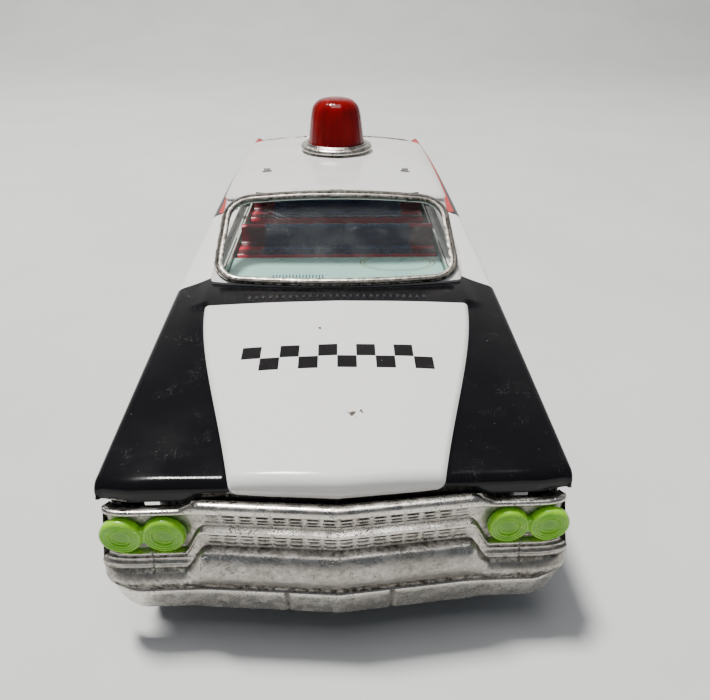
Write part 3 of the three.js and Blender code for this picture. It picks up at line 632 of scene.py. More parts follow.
def lens_green():
    """Fluorescent green plastic with a faint painted glow: clouded, pitted, and darker in the middle of each
    disc from painted shade.
    """
    # Painted glow: a faint green emission stands in for the plastic's fluorescence.
    look = Look("lens_green", IOR=1.49, Transmission_Weight=0.25, Emission_Strength=0.035)
    look.set("Emission Color", (*LENS_PAINTED_GLOW, 1))
    look.scatter(0.35, 1.5, (0.4, 1.0, 0.15))
    cloud = look.ramp(look.noise(2.2, 4), 0.3, 0.7)
    colour = look.mix(look.times(cloud, 0.7), LENS_GREEN, LENS_PALE)
    # Painted shade: the stored depth darkens the rings and the middle of each disc.
    colour = look.mix(look.times(look.stored("depth"), 0.75), colour, LENS_SHADE)
    look.set("Base Color", look.mix(look.specks(0.8, 0.12, 0.2), colour, LENS_PIT))
    look.gloss(1.2, 3, 0.12, 0.28)
    look.bump(look.noise(0.5, 3), 0.03)
    return look.material


def lens_red():
    look = Look("lens_red", IOR=1.45, Transmission_Weight=0.08)
    look.scatter(0.1, 2, (1.0, 0.1, 0.1))
    streak = look.ramp(look.noise(4, 3, 0.5, look.stretched((1, 1, 0.12))), 0.35, 0.7)
    look.set("Base Color", look.mix(streak, DOME_DARK, DOME_RED))
    look.gloss(5, 3, 0.07, 0.17)
    look.bump(look.noise(3, 2), 0.03)
    return look.material


def cabin_print():
    """Mint printed tin with its marks: vents, a steering wheel drawn as a double ring, and door lines."""
    look = Look("cabin_print", Coat_Weight=0.2, Coat_Roughness=0.15)
    x, y, z = look.axes()
    shade = look.ramp(look.noise(14, 3), 0.35, 0.7)
    colour = look.mix(shade, MINT, MINT_PALE)
    vent_place = look.math("FRACT", look.times(x, 1 / 1.1))
    vents = look.both(
        look.between(vent_place, 0.3, 0.68, 0.08),
        look.between(x, -22.2, -4.4),
        look.between(y, -44.4, -39.4),
    )
    colour = look.mix(vents, colour, MINT_DARK)
    ring = look.distance(x, y, (21.2, -29.5), (13.4, 7.4))
    wheel = look.either(look.between(ring, 0.96, 1.0, 0.01), look.between(ring, 0.86, 0.89, 0.01))
    colour = look.mix(wheel, colour, OLIVE)
    door = look.both(look.ramp(z, 50.6, 50.8), look.between(y, -36, 70))
    colour = look.mix(door, colour, PALE_PRINT)
    enamel_surface(look, colour, rough=0.22)
    return look.material


def seat_print():
    """Navy and crimson printed seats, with lighter bands and with crimson ends and front edge."""
    look = Look("seat_print", IOR=1.3)
    x = look.axes()[0]
    end = look.ramp(look.math("ABSOLUTE", x), SEAT_END - 1.2, SEAT_END + 1.2)
    pleats = look.times(look.between(look.math("FRACT", look.times(x, 1 / 2.2)), 0.0, 0.12, 0.03), 0.5)
    band = look.mask("band", 0.5)
    colour = look.mix(pleats, look.mix(band, NAVY, NAVY_BAND), NAVY_DARK)
    colour = look.mix(end, colour, look.mix(band, CRIMSON_DARK, CRIMSON))
    colour = look.mix(look.mask("front", 0.25), colour, CRIMSON)
    enamel_surface(look, colour, rough=0.2)
    return look.material


def floor_grey():
    look = Look("floor_grey", Roughness=0.75, Specular_IOR_Level=0.25)
    shade = look.ramp(look.noise(90, 3), 0.3, 0.7)
    look.set("Base Color", look.mix(shade, FLOOR_DARK, FLOOR_LIGHT))
    look.bump(look.noise(1.5, 3), 0.02)
    return look.material


# ---- Body shell ----


def half_section(y):
    """Half of the cross-section at y: (x, z) points from the middle of the top to the foot of the side."""
    edge, top, panel = edge_half(y), edge_height(y), panel_half(y)
    crown, rim, crease = middle_height(y), panel_height(y), crease_half(y)
    step = PANEL_STEP * (1 - smooth(y, PANEL_REAR - 0.9, PANEL_REAR + 0.3))
    corners = [
        (0, crown, 0),
        (panel * 0.55, lerp(rim, crown, 0.68), 12),
        (panel - 0.7, rim, 0.7),
        (panel + 0.5, rim - step - 0.1, 0.8),
        (crease, top + crease_rise(y), 3),
        (edge - 1.4, top + 0.1, 0.9),
        (edge, top - 0.9, 0.9),
        (edge - 1.2, top - 3, 1.2),
        (edge - 1.8, top - 9, 5),
        (edge - 0.6, top - 15, 2),
        (edge - 1.4, top - 18, 2.5),
        (edge - 3.8, SHELL_BOTTOM, 0),
    ]
    return filleted(corners, 4)


SECTION_EDGE = 1 + 5 * 5 + 3  # the point of the section where the top turns down into the side


def body_ring(y, sink, tuck):
    """One section, let down by sink, drawn in by tuck at its sides and bent along the front's shallow V."""
    shift = 1 - smooth(y, LIP, -112)
    half = [(x - tuck * smooth(x, 30, 51), y + shift * front_sweep(x), z - sink) for x, z in half_section(y)]
    half[-1] = (half[-1][0], half[-1][1], SHELL_BOTTOM)
    return [(-x, py, z) for x, py, z in reversed(half[1:])] + half


def top_of(ring):
    """The points of a section between its two outer edges, and the index of the last one."""
    last = (len(ring) - 1) // 2 + SECTION_EDGE
    return ring[len(ring) - 1 - last:last + 1], last


def front_lip(ring):
    """The short lip that hangs from the front edge down to the grille."""
    top, _ = top_of(ring)
    return [[(x, y, lerp(z, LIP_BOTTOM, k / 5)) for x, y, z in top] for k in range(6)]


def rear_panel(ring):
    """Rows that close the rear end: the top's points let down beside the sides' own points."""
    top, last = top_of(ring)
    rows = []
    for side in ring[last:]:
        share = (top[-1][2] - side[2]) / (top[-1][2] - SHELL_BOTTOM)
        rows.append([(x * side[0] / top[-1][0], y, lerp(z, SHELL_BOTTOM, share)) for x, y, z in top])
    return rows


def sheet_from(name, rows):
    """Rows of points as a sheet of the shell's thickness."""
    points = [p for row in rows for p in row]
    made = clean(raw_object(name, points, grid_faces(len(rows), len(rows[0]))), outward_from=(0, 0, 30))
    return thicken(made)


def joined(pieces):
    """Several objects as one, with the points where they meet merged."""
    with bpy.context.temp_override(active_object=pieces[0], selected_editable_objects=pieces):
        bpy.ops.object.join()
    form = bmesh.new()
    form.from_mesh(pieces[0].data)
    bmesh.ops.remove_doubles(form, verts=form.verts, dist=0.00003)
    form.to_mesh(pieces[0].data)
    form.free()
    return pieces[0]


def rounded_outline(x, y, radius, corner_steps, x_steps, y_steps):
    """A rectangle with round corners in plan, its straight sides divided."""
    corners = [
        (x[1] - radius, y[0] + radius, -0.5),
        (x[1] - radius, y[1] - radius, 0),
        (x[0] + radius, y[1] - radius, 0.5),
        (x[0] + radius, y[0] + radius, 1),
    ]
    points = []
    for i, (cx, cy, start) in enumerate(corners):
        for j in range(corner_steps + 1):
            turn = (start + 0.5 * j / corner_steps) * math.pi
            points.append((cx + radius * math.cos(turn), cy + radius * math.sin(turn)))
        nx, ny, following = corners[(i + 1) % 4]
        goal = (nx + radius * math.cos(following * math.pi), ny + radius * math.sin(following * math.pi))
        start_point, steps = points[-1], y_steps if i % 2 == 0 else x_steps
        for j in range(1, steps):
            points.append(tuple(lerp(a, b, j / steps) for a, b in zip(start_point, goal)))
    return points


def bowed(x, y, half, front, rear, bow):
    """Bends the front and rear edges of a plan outline back at their ends."""
    share = (y - front) / (rear - front)
    return x, y + (x / half) ** 2 * bow * (1 - 2 * share)


def cabin_outline(inset, radius):
    """The greenhouse's foot in plan, drawn in by inset."""
    x = (-CABIN_HALF + inset, CABIN_HALF - inset)
    plan = rounded_outline(x, (CABIN_FRONT + inset, CABIN_REAR - inset), radius, 5, 24, 16)
    return [bowed(px, py, CABIN_HALF, CABIN_FRONT, CABIN_REAR, CABIN_BOW) for px, py in plan]


def arch_cutters():
    """Discs that cut the wheel arches, the rear one flat on top."""
    cutters = []
    for node, top in (("front_axle", math.inf), ("rear_axle", REAR_ARCH_TOP)):
        low, high = millimetres(node)
        y, z = (low.y + high.y) / 2, (low.z + high.z) / 2
        outline = []
        for k in range(72):
            turn = 2 * math.pi * k / 72
            outline.append((y + ARCH_RADIUS * math.cos(turn), min(z + ARCH_RADIUS * math.sin(turn), top)))
        cutters.append(side_prism("arch", outline, -60, 60))
    return cutters


def rear_boundary(x, z):
    """The Y at which the white flank ends: a line that slants back across the top and down the side."""
    return 16 + 0.85 * max(0, 51.9 - abs(x)) * smooth(z, 44, 50) + 0.45 * max(0, 50 - z)


def white_part(x, y, z):
    out = abs(x)
    corner = math.hypot(max(0, out - panel_half(y) + 2.4), max(0, 44 - z))
    hood = min(panel_half(y) + 0.15 - out, PANEL_REAR - 0.7 - y, z - 41.4, 2.6 - corner)
    front = -50 + (51.6 - out) * 0.48
    flank = min(y - front, rear_boundary(x, z) - y, z - 13.5)
    return max(hood, flank)


def red_part(x, y, z):
    return min(49.6 - abs(x), abs(x) - 40.8, y - rear_boundary(x, z) - 1.2, z - 44, TOP_REAR - y)


def slate_part(x, y, z):
    return min(abs(x) - 49.6, y - rear_boundary(x, z), 118 - y, z - 42)


def rolled(start, reach, sink, tuck, turns):
    """Stations that roll over an end of the top: (y, sink, tuck) for each angle of the roll."""
    return [(start + reach * math.sin(a), sink * (1 - math.cos(a)), tuck * (1 - math.cos(a))) for a in turns]


def flare(skin):
    """Sets the front edge back a little just beside the hood panel, where the pressing dips."""
    for vertex in skin.data.vertices:
        x, y, _ = vertex.co / MM
        vertex.co.y += 0.6 * MM * hump(abs(x), 23.9, 25.2, 29.8, 31.2) * (1 - smooth(y, -131.6, -130))


def body():
    turns = [k * math.pi / 12 for k in range(7)]
    stations = rolled(TOP_FRONT - 1.4, -2.6, 2.4, 0.3, reversed(turns))
    stations += [(lerp(TOP_FRONT, TOP_REAR, k / 176), 0, 0) for k in range(177)]
    stations += rolled(TOP_REAR + 0.6, 1.4, 1.0, 0.8, turns)
    rings = [body_ring(*station) for station in stations]
    skin = sheet_from("body", rings)
    mouth = block("mouth", (-60, -150, -5), (60, FRONT_OPENING, LIP_BOTTOM))
    belt = prism("belt", cabin_outline(2.3, 3), 46, 60)
    carve(skin, mouth, belt, *arch_cutters())
    lip = sheet_from("front_lip", front_lip(rings[0]))
    joined([skin, lip, sheet_from("rear_panel", rear_panel(rings[-1]))])
    for paint, part in (("white", white_part), ("red", red_part), ("slate", slate_part)):
        paint_mask(skin, paint, part)
    flare(skin)
    finished(skin, PAINT, ["body_shell"], angle=40)


def top_at(x, y):
    """Height of the body's upper skin, read between the section's points."""
    line = half_section(y)
    for (ax, az), (bx, bz) in zip(line, line[1:]):
        if ax <= abs(x) <= bx and bx > ax:
            return lerp(az, bz, (abs(x) - ax) / (bx - ax))
    return line[0][1]


def cowl_louvres():
    """A row of small pressed ribs across the cowl, ahead of the windshield."""
    points, faces = [], []
    for k in range(LOUVRES):
        x = (k - LOUVRES // 2) * LOUVRE_PITCH
        for dy, dz in ((-1.0, -0.1), (-0.75, 0.34), (0.75, 0.34), (1.0, -0.1)):
            y = LOUVRE_Y + dy
            for dx in (-0.62, -0.34, 0.34, 0.62):
                rise = dz if abs(dx) < 0.5 else -0.1
                points.append((x + dx, y, top_at(x + dx, y) + rise))
        faces += grid_faces(4, 4, start=16 * k)
    row = clean(raw_object("cowl_louvres", points, faces), outward_from=(0, -60, 0))
    finished(row, BLACK_ENAMEL, angle=50)


# ---- Greenhouse ----


def roof_height(x, y):
    return ROOF_CROWN - 2.6 * (x / ROOF_HALF) ** 2 - 1.3 * ((y - 18) / 42) ** 2


def roof_ring(inset, drop):
    radius = 4 if inset < 12 else 2.5
    x = (-ROOF_HALF + inset, ROOF_HALF - inset)
    plan = rounded_outline(x, (ROOF_FRONT + inset, ROOF_REAR - inset), radius, 5, 24, 16)
    plan = [bowed(px, py, ROOF_HALF, ROOF_FRONT, ROOF_REAR, ROOF_BOW) for px, py in plan]
    return [(px, py, roof_height(px, py) - drop) for px, py in plan]


def between_rings(low, high, share):
    return [tuple(lerp(a, b, share) for a, b in zip(p, q)) for p, q in zip(low, high)]


def slope_point(end, u, t, lift):
    """A place on the sloping face at one end of the greenhouse: u across, t up, lift millimetres off it."""
    foot, head = (CABIN_FRONT, ROOF_FRONT) if end < 0 else (CABIN_REAR, ROOF_REAR)
    low = foot - end * CABIN_BOW * u * u
    high = head - end * ROOF_BOW * u * u
    low_z, high_z = CABIN_FOOT, roof_height(u * ROOF_HALF, head) - 0.7
    run, rise = -end * (high - low), high_z - low_z
    length = math.hypot(run, rise)
    return (
        u * lerp(CABIN_HALF, ROOF_HALF, t),
        lerp(low, high, t) + end * lift * rise / length,
        lerp(low_z, high_z, t) + lift * run / length,
    )


def window_outline(grow, corner_steps=8):
    """The edge of an end window as (u, t) places on its face, grown by so many millimetres."""
    half = 0.915 * FACE_HALF + grow
    rise = (0.085 * FACE_RISE - grow, 0.915 * FACE_RISE + grow)
    plan = rounded_outline((-half, half), rise, 5.5 + grow, corner_steps, 30, 10)
    return [(x / FACE_HALF, y / FACE_RISE) for x, y in plan]


def window_plate(name, end, grow, back, front):
    """A curved plate that fills an end window, from one lift off its face to another."""
    outline = window_outline(grow, 4)

    def ring(scale, lift):
        return [slope_point(end, u * scale, lerp(0.5, t, scale), lift) for u, t in outline]

    scales = (0.3, 0.7, 1)
    behind = [ring(scale, back) for scale in scales]
    return loft(name, behind + [ring(scale, front) for scale in reversed(scales)])


SIDE_WINDOWS = [
    [(-38, 56.5, 2), (13, 56.5, 1), (13, 69.3, 1.5), (-20, 69.3, 3)],
    [(16.5, 56.5, 1), (64, 56.5, 3), (51, 69.3, 3), (16.5, 69.3, 1.5)],
]


def round_polygon(corners):
    """A closed outline through (y, z, radius) corners."""
    return filleted([corners[-1], *corners, corners[0]], 4)[1:-1]


EAVE_ROLL = [(-0.35, 1.35), (-0.45, 1.05), (-0.2, 0.72), (0.4, 0.4), (1.2, 0.16), (2.2, 0.05), (4, 0)]


def greenhouse():
    """The roof and its pillars as one skin, with its windows, tab slots and header slots cut in it."""
    foot = [(x, y, CABIN_FOOT) for x, y in cabin_outline(0, 1.5)]
    skirt = [(x, y, CABIN_FOOT - 1.2) for x, y in cabin_outline(0.1, 1.5)]
    eave = roof_ring(0, 1.5)
    rings = [skirt] + [between_rings(foot, eave, k / 12) for k in range(13)]
    rings += [roof_ring(inset, drop) for inset, drop in EAVE_ROLL]
    rings += [roof_ring(inset, 0) for inset in (7, 10, 14, 18, 22, 26, 30, 33)]
    columns = len(rings[0])
    points = [p for ring in rings for p in ring]
    faces = grid_faces(len(rings), columns, wrap=True)
    faces.append(tuple(range(len(points) - columns, len(points))))
    skin = clean(raw_object("greenhouse", points, faces), outward_from=(0, 16, 55))
    thicken(skin)
    cutters = [window_plate("opening", end, 0.6, -6, 6) for end in (-1, 1)]
    cutters += [side_prism("side_window", round_polygon(outline), -50, 50) for outline in SIDE_WINDOWS]
    for x in (-25.5, 25.5):
        cutters.append(block("tab_slot", (x - 1.9, -1.8, 60), (x + 1.9, -0.2, 80)))
    for x in (-25, 0, 26):
        low = slope_point(-1, x / 38, 0.957, -2)
        high = slope_point(-1, x / 38, 0.985, 2)
        near = (x - 2.2, low[1] - 3, low[2] + 0.6)
        cutters.append(block("header_slot", near, (x + 2.2, high[1] + 4, high[2] - 0.9)))
    carve(skin, *cutters)
    finished(skin, WHITE_ENAMEL, ["roof_shell"], angle=32)


FRAME_PROFILE = [  # (outward across the band, off the glass line, how much painted shade, darkest in the grooves)
    (0.5, 0.2, 1), (0.5, 0.7, 1), (0.9, 0.9, 0.9), (1.4, 1.0, 0.5), (1.6, 1.0, 0.9), (1.75, 0.8, 1),
    (1.9, 0.8, 1), (2.1, 1.2, 0.5), (2.35, 1.45, 0.5), (2.6, 1.35, 0.55), (2.75, 1.05, 0.9), (2.85, 0.8, 1),
    (3.0, 0.8, 1), (3.1, 0.8, 1), (3.2, 0.2, 1),
]


def window_frame(name, end):
    """The pressed band round an end window, with painted shade in its grooves."""
    rows = []
    for grow, lift, _ in FRAME_PROFILE:
        rows.append([slope_point(end, u, t, lift) for u, t in window_outline(grow)])
    columns = len(rows[0])
    points = [p for row in rows for p in row]
    faces = grid_faces(len(rows) + 1, columns, wrap=True)
    band = raw_object(name, points, [tuple(i % len(points) for i in face) for face in faces])
    # Painted shade from the profile's third column, stored at each vertex.
    store(band, "shade_and_grime", [shade_and_grime for _, _, shade_and_grime in FRAME_PROFILE for _ in range(columns)])
    clean(band)
    finished(band, SHADED_CHROME, [name], angle=50)


def dash():
    """The printed shelf behind the windshield, rolled down at its rear edge."""
    profile = filleted([(DASH_FRONT, 50.4, 0), (DASH_REAR, 50.4, 0.8), (DASH_REAR + 0.4, 48.6, 0)], 5)
    rows = []
    for k in range(41):
        x = lerp(-DASH_HALF, DASH_HALF, k / 40)
        bow = CABIN_BOW * (x / CABIN_HALF) ** 2 / (DASH_REAR - DASH_FRONT)
        rows.append([(x, y + bow * max(0, DASH_REAR - y), z) for y, z in profile])
    shelf = sheet_from("dash", rows)
    finished(shelf, CABIN, angle=40)


# ---- Seats ----

SEAT_PROFILE = [  # (y, z, corner radius) from the cushion's front foot, over the back, to its rear foot
    (1.5, 0, 0), (0.2, 7.2, 1.6), (1.4, 8.8, 1.5), (7, 8.9, 4), (13, 8.2, 2), (15.6, 14, 1.2),
    (17.6, 14.6, 1.2), (19, 13, 1), (20.5, 0, 0),
]
SEAT_MIDDLE = (10, 4)
SEAT_STEPS = 64
SEAT_SWELL = 0.10
SEAT_PLEAT = 6.9


def seat(node):
    """A bench whose cushion and back swell between its pleats and round off at its ends."""
    low, high = millimetres(node)
    half = high.x
    sections = [(-half, 0.95, 0), (-half, 0.985, 0)]
    for k in range(SEAT_STEPS + 1):
        x = lerp(-half, half, k / SEAT_STEPS)
        sections.append((x, 1, SEAT_SWELL * math.cos(2 * math.pi * x / SEAT_PLEAT)))
    sections += [(half, 0.985, 0), (half, 0.95, 0)]
    outline = filleted(SEAT_PROFILE, 4)
    rows = []
    for x, shrink, swell in sections:
        row = []
        for y, z in outline:
            along, up = (lerp(middle, place, shrink) for middle, place in zip(SEAT_MIDDLE, (y, z)))
            row.append((x, low.y + along, low.z + up + (swell if z > 6 else 0)))
        rows.append(row)
    bench = clean(loft(node + "_bench", rows))

    def band(_, y, z):
        along, up = y - low.y, z - low.z
        cushion = 1.6 - abs(along - 7) if up < 9.6 else -1
        back = 1.0 - abs(up - 11.4) if along > 12 else -1
        top = 0.9 - abs(along - 16.6) if up > 13.4 else -1
        return max(cushion, back, top)

    paint_mask(bench, "band", band)
    paint_mask(bench, "front", lambda x, y, z: 1.3 - (y - low.y))
    finished(bench, SEATS, [node], angle=40)


# ---- Grille ----

GRILLE_MIDDLE = [  # (y, z) down the face in the middle, from the tucked top edge to the foot of the apron
    (-130.5, 38.4), (-134.4, 38.7), (-135.6, 40.9), (-137.2, 41.1), (-138, 40.2), (-138, 38.7),
    (-136.9, 38.2), (-137, 34.8), (-138.6, 34.4), (-138.6, 33.4), (-137.2, 33), (-137.6, 29), (-139.8, 28.6),
    (-141.5, 25.6), (-141.3, 22.4), (-139.4, 18.2), (-139.4, 17.4), (-140, 17), (-138.4, 8.8),
]
GRILLE_WING = [  # the same points of the face below the lamps
    (-129.9, 36.2), (-131, 36.4), (-132.4, 38.1), (-133.3, 38.6), (-134, 38.2), (-134, 37.4),
    (-132.9, 36.9), (-132.9, 26.8), (-134.4, 26.6), (-134.6, 26), (-134.4, 25.6), (-135.6, 22.8),
    (-136.6, 22.4), (-137.8, 20.6), (-137.5, 18.7), (-136.4, 17.6), (-136.4, 17), (-136.9, 16.5), (-135.2, 9),
]
GRILLE_ROUNDING = [
    0, 0.5, 0.6, 0.7, 0.5, 0.4, 0.3, 0.3, 0.35, 0.35, 0.3, 0.3, 0.8, 1.4, 1.4, 0.5, 0.2, 0.3, 0,
]
UPPER_FOOT = 6  # numbers of points in the outlines above: the feet of the two bars
LOWER_FOOT = 10
ROLL_TOP = 11  # the bumper's roll, from its top to its foot
BUMPER_TOP = 12
ROLL_FOOT = 15
APRON_TOP = 16
APRON_FACE = 17
GRILLE_CORNER = 29  # from here out to the wing's start, the middle outline turns into the wing's
GRILLE_WING_START = 34.5
GRILLE_END_START = 44.5
GRILLE_HALF = 52.7
GRILLE_VEE = 2.7
GRILLE_STEPS = 330
RIB_BANDS = ((35.2, 37.8), (29.4, 32.6))
RIB_PITCH = 3.6


def rib_cut(x, z):
    """How deep the dashes of the two ribbed bands are at a place, from 0 to 1, or None outside the bands."""
    for low, high in RIB_BANDS:
        if low < z < high:
            cell = 0.5 + 0.5 * math.cos(2 * math.pi * (abs(x) / RIB_PITCH - 0.5))
            dash = smooth(cell, 0.1, 0.35) * (1 - smooth(abs(x), 22, 29) * 0.75)
            line = 0.5 - 0.5 * math.cos(2 * math.pi * 3 * (z - low) / (high - low))
            return smooth(line, 0.35, 0.8) * dash
    return None


def relief(x, z, wing, end, heights):
    """The pressed and worn marks at a place on the face, and the painted shade on it: (outward height in mm,
    painted shade mixed with some grime).
    """
    cut = rib_cut(x, z)
    apron, roll = heights[APRON_TOP], heights[ROLL_FOOT]
    pierced = 0 if cut is None else cut * (1 - wing)
    under = hump(z, 23.2, 23.6, 26.6, 27.2) * wing
    bars = (0.5 + 0.5 * math.cos(2 * math.pi * (z - 24.0) / 1.25)) * under
    seam = max(0.0, 1 - abs(abs(x) - 41.2) / 0.35) * (1 if 22.2 < z < 26.6 else 0) * wing
    groove = max(0.0, 1 - (abs(abs(x) - 12) / 0.55) ** 4) * (1 if z < 16.9 else 0)
    # Painted shade, with some real grime: darker in the pierced rib bands, in the recess below the lamps,
    # between the wing's bars, in the side seam and the apron's notches, under the bars and the top bead, on
    # the bumper's under-roll, towards the apron's foot and along the roll's lower edge. The mottles on the
    # bumper's face are partly painted reflection and partly pits, and the seam is partly a real joint.
    shade_and_grime_values = [
        0 if cut is None else 0.28 + 0.7 * pierced,
        0.6 * hump(z, 26.9, 27.3, 36.3, 36.8) * wing * (1 - end),
        under * 0.7 - 0.6 * bars,
        0.8 * seam,
        0.85 * groove,
        0.8 * (hump(z, 32.5, 32.8, 33.2, 33.5) + smooth(z, 37.9, 38.1)) * (1 - wing),
        0.5 * hump(z, 17.0, 17.8, 21.8, 24.0) + 0.05 * (1 - smooth(z, 10, 14)),
        0.5 * hump(z, 21, 23, 26.2, 28) * (1 - 0.6 * wing),
        hump(z, apron - 0.3, apron, roll + 2.2, roll + 3),
    ]
    # Painted shade along the feet of the two bars and the top of the bumper's roll.
    for point, half, strength in ((UPPER_FOOT, 0.4, 0.9), (LOWER_FOOT, 0.4, 0.9), (ROLL_TOP, 0.35, 0.8)):
        shade_and_grime_values.append(strength * (1 - smooth(abs(z - heights[point]), half * 0.6, half)))
    return 0.25 * bars - 0.28 * pierced - 0.3 * seam - 0.35 * groove, min(1.0, max(shade_and_grime_values))


def grille_outline(x):
    """The face's outline at x, its shares of the wing and of the end, and the heights of its points."""
    out = abs(x)
    wing = smooth(out, GRILLE_CORNER, GRILLE_WING_START)
    vee = GRILLE_VEE * min(out / GRILLE_CORNER, 1) * (1 - wing)
    end = max(0, out - GRILLE_END_START) / (GRILLE_HALF - GRILLE_END_START)
    turn = 1 - math.sqrt(1 - 0.97 * min(end, 1) ** 2)
    outer = []
    for i, ((my, mz), (wy, wz)) in enumerate(zip(GRILLE_MIDDLE, GRILLE_WING)):
        back = turn * (2 if i < BUMPER_TOP else 4.4)
        lift = 5 * end**2 if i >= APRON_TOP else 0
        outer.append((lerp(my, wy, wing) + vee + back, lerp(mz, wz, wing) + lift))
    corners = []
    for i, (y, z) in enumerate(outer):
        corners.append((y, z, GRILLE_ROUNDING[i]))
        if i in (UPPER_FOOT, LOWER_FOOT, APRON_FACE):
            following = outer[i + 1]
            pieces = 4 if i == APRON_FACE else 10
            for k in range(1, pieces):
                corners.append((lerp(y, following[0], k / pieces), lerp(z, following[1], k / pieces), 0.05))
    return filleted(corners, 2), wing, end, [z for _, z in outer]


def grille():
    rows, shade_and_grime_values = [], []
    for k in range(GRILLE_STEPS + 1):
        x = lerp(-GRILLE_HALF, GRILLE_HALF, k / GRILLE_STEPS)
        line, wing, end, heights = grille_outline(x)
        face = []
        for y, z in line:
            height, shade_and_grime = relief(x, z, wing, min(end, 1), heights)
            outside = 1 if y < -131.5 and z < 38.4 else 0
            narrowed = x - math.copysign(2.2 * min(end, 1), x) * smooth(z, 24, 27)
            face.append((narrowed, y - height * outside, z))
            shade_and_grime_values.append(shade_and_grime * outside)
        rows.append(face + [(x, y + 0.5, z - (0.4 if z > 37 else 0)) for x, y, z in reversed(face)])
        # The back of the pressing gets full painted shade.
        shade_and_grime_values += [1.0] * len(face)
    made = loft("grille", rows)
    store(made, "shade_and_grime", shade_and_grime_values)
    clean(made)
    finished(made, SHADED_CHROME, ["front_grille"], angle=42)


def lens_disc(name, x, z, y_back, depth, radius):
    """A disc with a raised rim, then rings stepped down to a dimpled middle."""
    profile = curved([
        (0.001, 0), (radius, 0), (radius, depth * 0.55, 0.2), (radius - 0.25, depth - 0.25, 0.3),
        (radius - 0.7, depth, 0.25), (radius - 1.05, depth - 0.3, 0.2), (radius - 1.35, depth - 0.06, 0.2),
        (radius - 1.65, depth - 0.36, 0.2), (radius - 1.95, depth - 0.12, 0.2),
        (radius * 0.5, depth - 0.62, 0.25), (radius * 0.42, depth - 0.34, 0.2),
        (radius * 0.34, depth - 0.62, 0.2), (0.001, depth - 0.5),
    ])
    return turned(name, (x, y_back, z), "Y", profile, 56)


def lens_pair(node):
    """Two stepped discs and the bridge between them, cupped, with painted shade that makes each darker in the
    middle and in rings over its steps.
    """
    low, high = millimetres(node)
    radius, z = (high.z - low.z) / 2, (high.z + low.z) / 2
    centres = [x - math.copysign(0.9, x) for x in (low.x + radius, high.x - radius)]
    discs = [lens_disc(node, x, z, high.y, high.y - low.y, radius) for x in centres]
    middle = sum(centres) / 2
    bridge = block("bridge", (middle - 2.6, low.y + 0.55, z - 1.9), (middle + 2.6, high.y, z + 1.9))
    pair = joined([*discs, clean(bridge)])
    pair.name = node + "_plastic"

    # Painted shade: dark rings over each disc's steps and a darker cupped middle, stored as depth.
    def depth(x, _, height):
        away = min(math.hypot(x - centre, height - z) for centre in centres)
        rings = 0.3 + 0.3 * math.cos(2 * math.pi * away / 0.62)
        rings *= 1 - smooth(away, radius * 0.8, radius * 0.85)
        return max(rings, 1 - smooth(away, radius * 0.2, radius * 0.48))

    paint_mask(pair, "depth", depth)
    finished(pair, GREEN, [node], angle=60)


# ---- Wheels ----


def tread(radius, half):
    """A tyre's profile from the middle of its grooved tread to its shoulder on one side."""
    return [
        (radius - 0.02, 0.5, 0.15), (radius - 0.5, 0.8, 0.15), (radius - 0.5, 1.2, 0.15),
        (radius - 0.02, 1.5, 0.15), (radius - 0.02, half - 1.8, 0.4), (radius - 0.7, half - 0.6, 0.8),
        (radius - 2.4, half, 0.8),
    ]


def wheel(axle, label, side):
    node = f"{axle}_{label}_tyre"
    low, high = millimetres(node)
    centre = ((low + high) / 2)[:]
    radius, half = (high.z - low.z) / 2, (high.x - low.x) / 2
    outer = tread(radius, half)
    inner = [(r, -along, corner) for r, along, corner in reversed(outer)]
    sidewall = [(radius - 3.4, half, 0.2), (radius - 3.6, half - 0.25, 0.2), (radius - 4.0, half, 0.2)]
    profile = curved([(11, -half), *inner, *outer, *sidewall, (11, half, 0)])
    tyre = turned(node + "_rubber", centre, "X", [(r, side * a) for r, a in profile], 96, closed=True)
    finished(tyre, RUBBER, [node], WHEELS[axle], angle=30)
    node = f"{axle}_{label}_wheel"
    profile = curved([
        (1.8, -3.4), (3.4, -3.4, 0.3), (3.4, 1, 0.3), (9.5, 1, 0.4), (9.5, -3.9, 0.2), (10.7, -3.9, 0.2),
        (10.7, 3.6, 0.3), (9.8, 4.1, 0.4), (8.8, 2.5, 0.6), (6.8, 2.55, 0.5), (5.6, 3.7, 0.8),
        (4.4, 4.2, 0.6), (2.6, 4.9, 1.0), (0.02, 5.15, 0), (0.02, 2.6, 0), (1.8, 2.6, 0.1), (1.8, -3.4, 0),
    ], 4)
    hub = turned(node + "_cap", centre, "X", [(r, side * a) for r, a in profile], 72, closed=True)
    finished(hub, CHROME, [node], WHEELS[axle], angle=35)


# ---- Beacon ----


